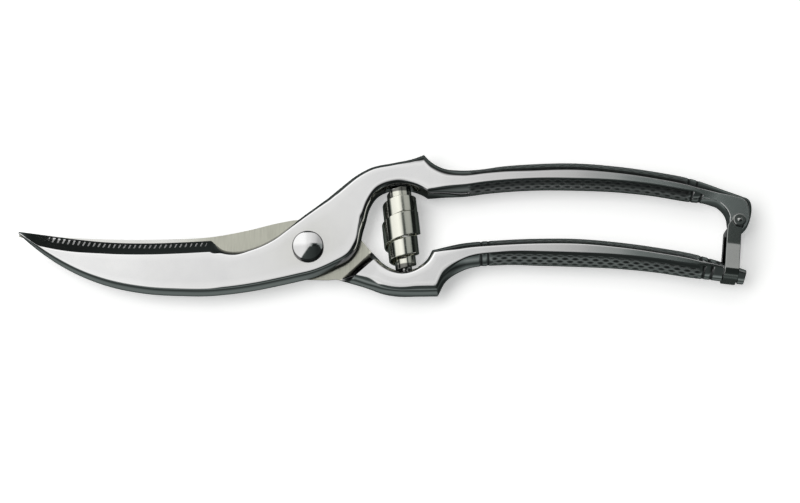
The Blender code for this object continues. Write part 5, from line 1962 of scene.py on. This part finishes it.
@dataclass
class Studio:
    """A pale floor, soft light that the metal mirrors, and the camera.

    sky is the light tent from left to right, and dusk is the same in the dark gap behind the set. The two
    grounds are what lies below, from underneath to level, in front of the set and behind it. The spans shape
    them by direction: x is to the right, y to the back and z up.
    """

    look_at: Triple = (0.03106, -0.00054, 0.0)
    tilt: float = 19.0
    distance: float = 0.620
    lens: float = 82.3
    sensor: float = 36.0
    clip: Point = (0.01, 20.0)
    sky: Stops = (
        (-1.0, 0.05), (-0.90, 0.10), (-0.82, 1.00), (-0.30, 1.08), (-0.17, 1.04), (-0.12, 0.96),
        (-0.05, 0.85), (0.05, 0.82), (0.30, 0.60), (0.40, 0.42), (0.80, 0.36), (0.90, 0.05), (1.0, 0.03),
    )
    dusk: Stops = (
        (0.0, 0.84), (0.033, 0.76), (0.055, 0.66), (0.082, 0.58), (0.109, 0.41), (0.137, 0.32),
        (0.159, 0.19), (0.18, 0.12), (0.20, 0.09), (0.22, 0.03), (0.36, 0.03), (0.42, 0.31), (0.72, 0.30),
        (0.80, 0.05), (1.0, 0.03),
    )
    near_ground: Stops = (
        (-1.0, 0.05), (-0.7, 0.07), (-0.45, 0.17), (-0.26, 0.17), (-0.08, 0.055), (0.02, 0.035),
        (0.14, 0.13), (0.30, 0.26), (0.45, 0.14), (0.60, 0.04),
    )
    far_ground: Stops = (
        (-1.0, 0.04), (-0.75, 0.045), (-0.60, 0.06), (-0.45, 0.15), (-0.32, 0.14), (-0.2, 0.06),
        (-0.05, 0.055), (0.06, 0.03), (0.3, 0.015),
    )
    gap_front: Span = (0.23, 0.28, 0.0, 1.0)
    gap_back: Span = (0.385, 0.42, 1.0, 0.0)
    sky_gain: Span = (0.20, 0.45, 0.84, 1.14)
    horizon: Span = (0.24, 0.34, 0.0, 1.0)
    horizon_rise: Span = (0.80, 0.87, 0.0, 0.30)
    corner_slant: float = 1.42
    corner_side: Span = (-0.25, -0.13, 0.0, 0.93)
    corner_depth: Span = (0.22, 0.28, 1.0, 0.0)
    corner_step: Span = (0.14, 0.22, 0.0, 0.08)
    corner_end: Span = (0.45, 0.60, 0.0, 0.18)
    ground_front: Span = (-0.1, -0.7, 0.0, 1.0)
    ground_right: Span = (0.45, 0.75, 1.0, 0.35)
    ground_left: Span = (-0.75, -0.9, 1.0, 0.35)
    tint_span: Span = (0.04, 0.5, 0.0, 1.0)
    dim_tint: Colour = (0.84, 1.0, 0.94)
    bright_tint: Colour = (1.0, 1.0, 0.98)
    floor_reach: float = 3.0
    floor_thickness: float = 0.02
    floor_gap: float = 0.0002
    floor_colour: Colour = (0.93, 0.93, 0.93)
    floor_roughness: float = 0.9
    glow: float = 0.42
    key_place: Triple = (-0.5, 0.0, 0.9)
    key_power: float = 3.0
    fill_place: Triple = (-0.6, -0.5, 0.7)
    fill_power: float = 2.3
    lamp_size: float = 0.6

    def world(self) -> None:
        """The light tent that the metal mirrors, as a function of direction.

        The sky falls off to the right, with a dark gap low on the right behind the set and a dark corner in
        front of it, where the viewer stands. It ends above the horizon, and below it lies a dim ground.
        """
        world = bpy.data.worlds.new("light_tent")
        bpy.context.scene.world = world
        world.use_nodes = True
        bench = NodeBench(world.node_tree)
        direction = bench.add("ShaderNodeTexCoord").outputs["Generated"]
        x, y, z = bench.add("ShaderNodeSeparateXYZ", i0=direction).outputs
        right, height = bench.share(x), bench.share(z)
        gap = bench.times(bench.span(y, *self.gap_front), bench.span(y, *self.gap_back))
        gap = bench.times(gap, bench.math("GREATER_THAN", x, 0.0))
        sky = bench.blend(gap, bench.ramp(right, self.sky), bench.ramp(right, self.dusk))
        sky = bench.times(sky, bench.span(y, *self.sky_gain))
        lifted = bench.math("SUBTRACT", z, bench.span(y, *self.horizon_rise))
        sky = bench.times(sky, bench.span(lifted, *self.horizon))
        slant = bench.math("SUBTRACT", bench.times(x, self.corner_slant), y)
        level = bench.math("SUBTRACT", y, bench.span(x, *self.corner_step))
        level = bench.math("ADD", level, bench.span(x, *self.corner_end))
        corner = bench.times(bench.span(slant, *self.corner_side), bench.span(level, *self.corner_depth))
        tent = bench.times(sky, bench.math("SUBTRACT", 1.0, corner))
        front = bench.span(y, *self.ground_front)
        ground = bench.blend(
            front, bench.ramp(height, self.far_ground), bench.ramp(height, self.near_ground))
        edges = bench.times(bench.span(x, *self.ground_right), bench.span(x, *self.ground_left))
        total = bench.math("MAXIMUM", tent, bench.times(ground, edges))
        tint = bench.blend(bench.span(total, *self.tint_span), self.dim_tint, self.bright_tint)
        background = bench.nodes["Background"]
        bench.links.new(total, background.inputs["Strength"])
        bench.links.new(tint, background.inputs["Color"])

    def floor(self) -> None:
        """A wide pale floor, lit a little from below, that the metal doesn't mirror."""
        square = self.floor_reach * np.array([[-1.0, -1.0], [1.0, -1.0], [1.0, 1.0], [-1.0, 1.0]])
        level = -PLACE[2] - self.floor_gap
        heights = (level - self.floor_thickness, level)
        rings = np.stack([np.hstack([square, np.full((4, 1), height)]) for height in heights])
        floor = skinned("studio_floor", rings)
        material = bpy.data.materials.new("pale_floor")
        material.use_nodes = True
        inputs = material.node_tree.nodes["Principled BSDF"].inputs
        inputs["Base Color"].default_value = (*self.floor_colour, 1.0)
        inputs["Roughness"].default_value = self.floor_roughness
        inputs["Specular IOR Level"].default_value = 0.0
        inputs["Emission Color"].default_value = (1.0, 1.0, 1.0, 1.0)
        inputs["Emission Strength"].default_value = self.glow
        floor.data.materials.append(material)
        floor.visible_glossy = False

    def lamp(self, name: str, place: Triple, power: float) -> None:
        """A soft square lamp that lights the floor and isn't mirrored.

        Args:
            name: its name.
            place: where it hangs. It points at the origin.
            power: its power, in watts.
        """
        data = bpy.data.lights.new(name, "AREA")
        data.size, data.energy = self.lamp_size, power
        lamp = bpy.data.objects.new(name, data)
        bpy.context.scene.collection.objects.link(lamp)
        lamp.location = place
        lamp.rotation_mode = "QUATERNION"
        lamp.rotation_quaternion = (-Vector(place)).to_track_quat("-Z", "Y")
        lamp.visible_glossy = False

    def camera(self) -> None:
        """The camera at the photograph's angle: above the shears and tilted towards the viewer."""
        data = bpy.data.cameras.new("camera")
        data.lens, data.sensor_width = self.lens, self.sensor
        data.clip_start, data.clip_end = self.clip
        camera = bpy.data.objects.new("camera", data)
        bpy.context.scene.collection.objects.link(camera)
        tilt = math.radians(self.tilt)
        back = Vector((0.0, -math.sin(tilt), math.cos(tilt)))
        camera.location = Vector(self.look_at) + Vector(PLACE) + back * self.distance
        camera.rotation_mode = "QUATERNION"
        camera.rotation_quaternion = (-back).to_track_quat("-Z", "Y")
        bpy.context.scene.camera = camera

    def build(self) -> None:
        """Set up the world, floor, lamps, camera and the plain view transform."""
        self.world()
        self.floor()
        self.lamp("key", self.key_place, self.key_power)
        self.lamp("fill", self.fill_place, self.fill_power)
        self.camera()
        view = bpy.context.scene.view_settings
        view.view_transform, view.look = "Standard", "None"


def main() -> None:
    """Build the sub-assemblies in order, report their pieces, and set up the studio."""
    logging.basicConfig(level=logging.INFO, format="%(name)s: %(message)s")
    pieces = [FrontLever().build(CHROME), RearLever().build(CHROME)]
    pieces += PivotSet().build(CHROME, NICKEL)
    pieces += VoluteSpring().build(SPRING_STEEL, NICKEL)
    pieces += LatchStirrup().build(SHADED_STRAP_CHROME, SHADED_RIVET_PLATING)
    for piece in pieces:
        finish = piece.data.materials[0].name
        LOG.info("%s has %d faces, finished in %s", piece.name, len(piece.data.polygons), finish)
    Studio().build()


if __name__ == "__main__":
    main()
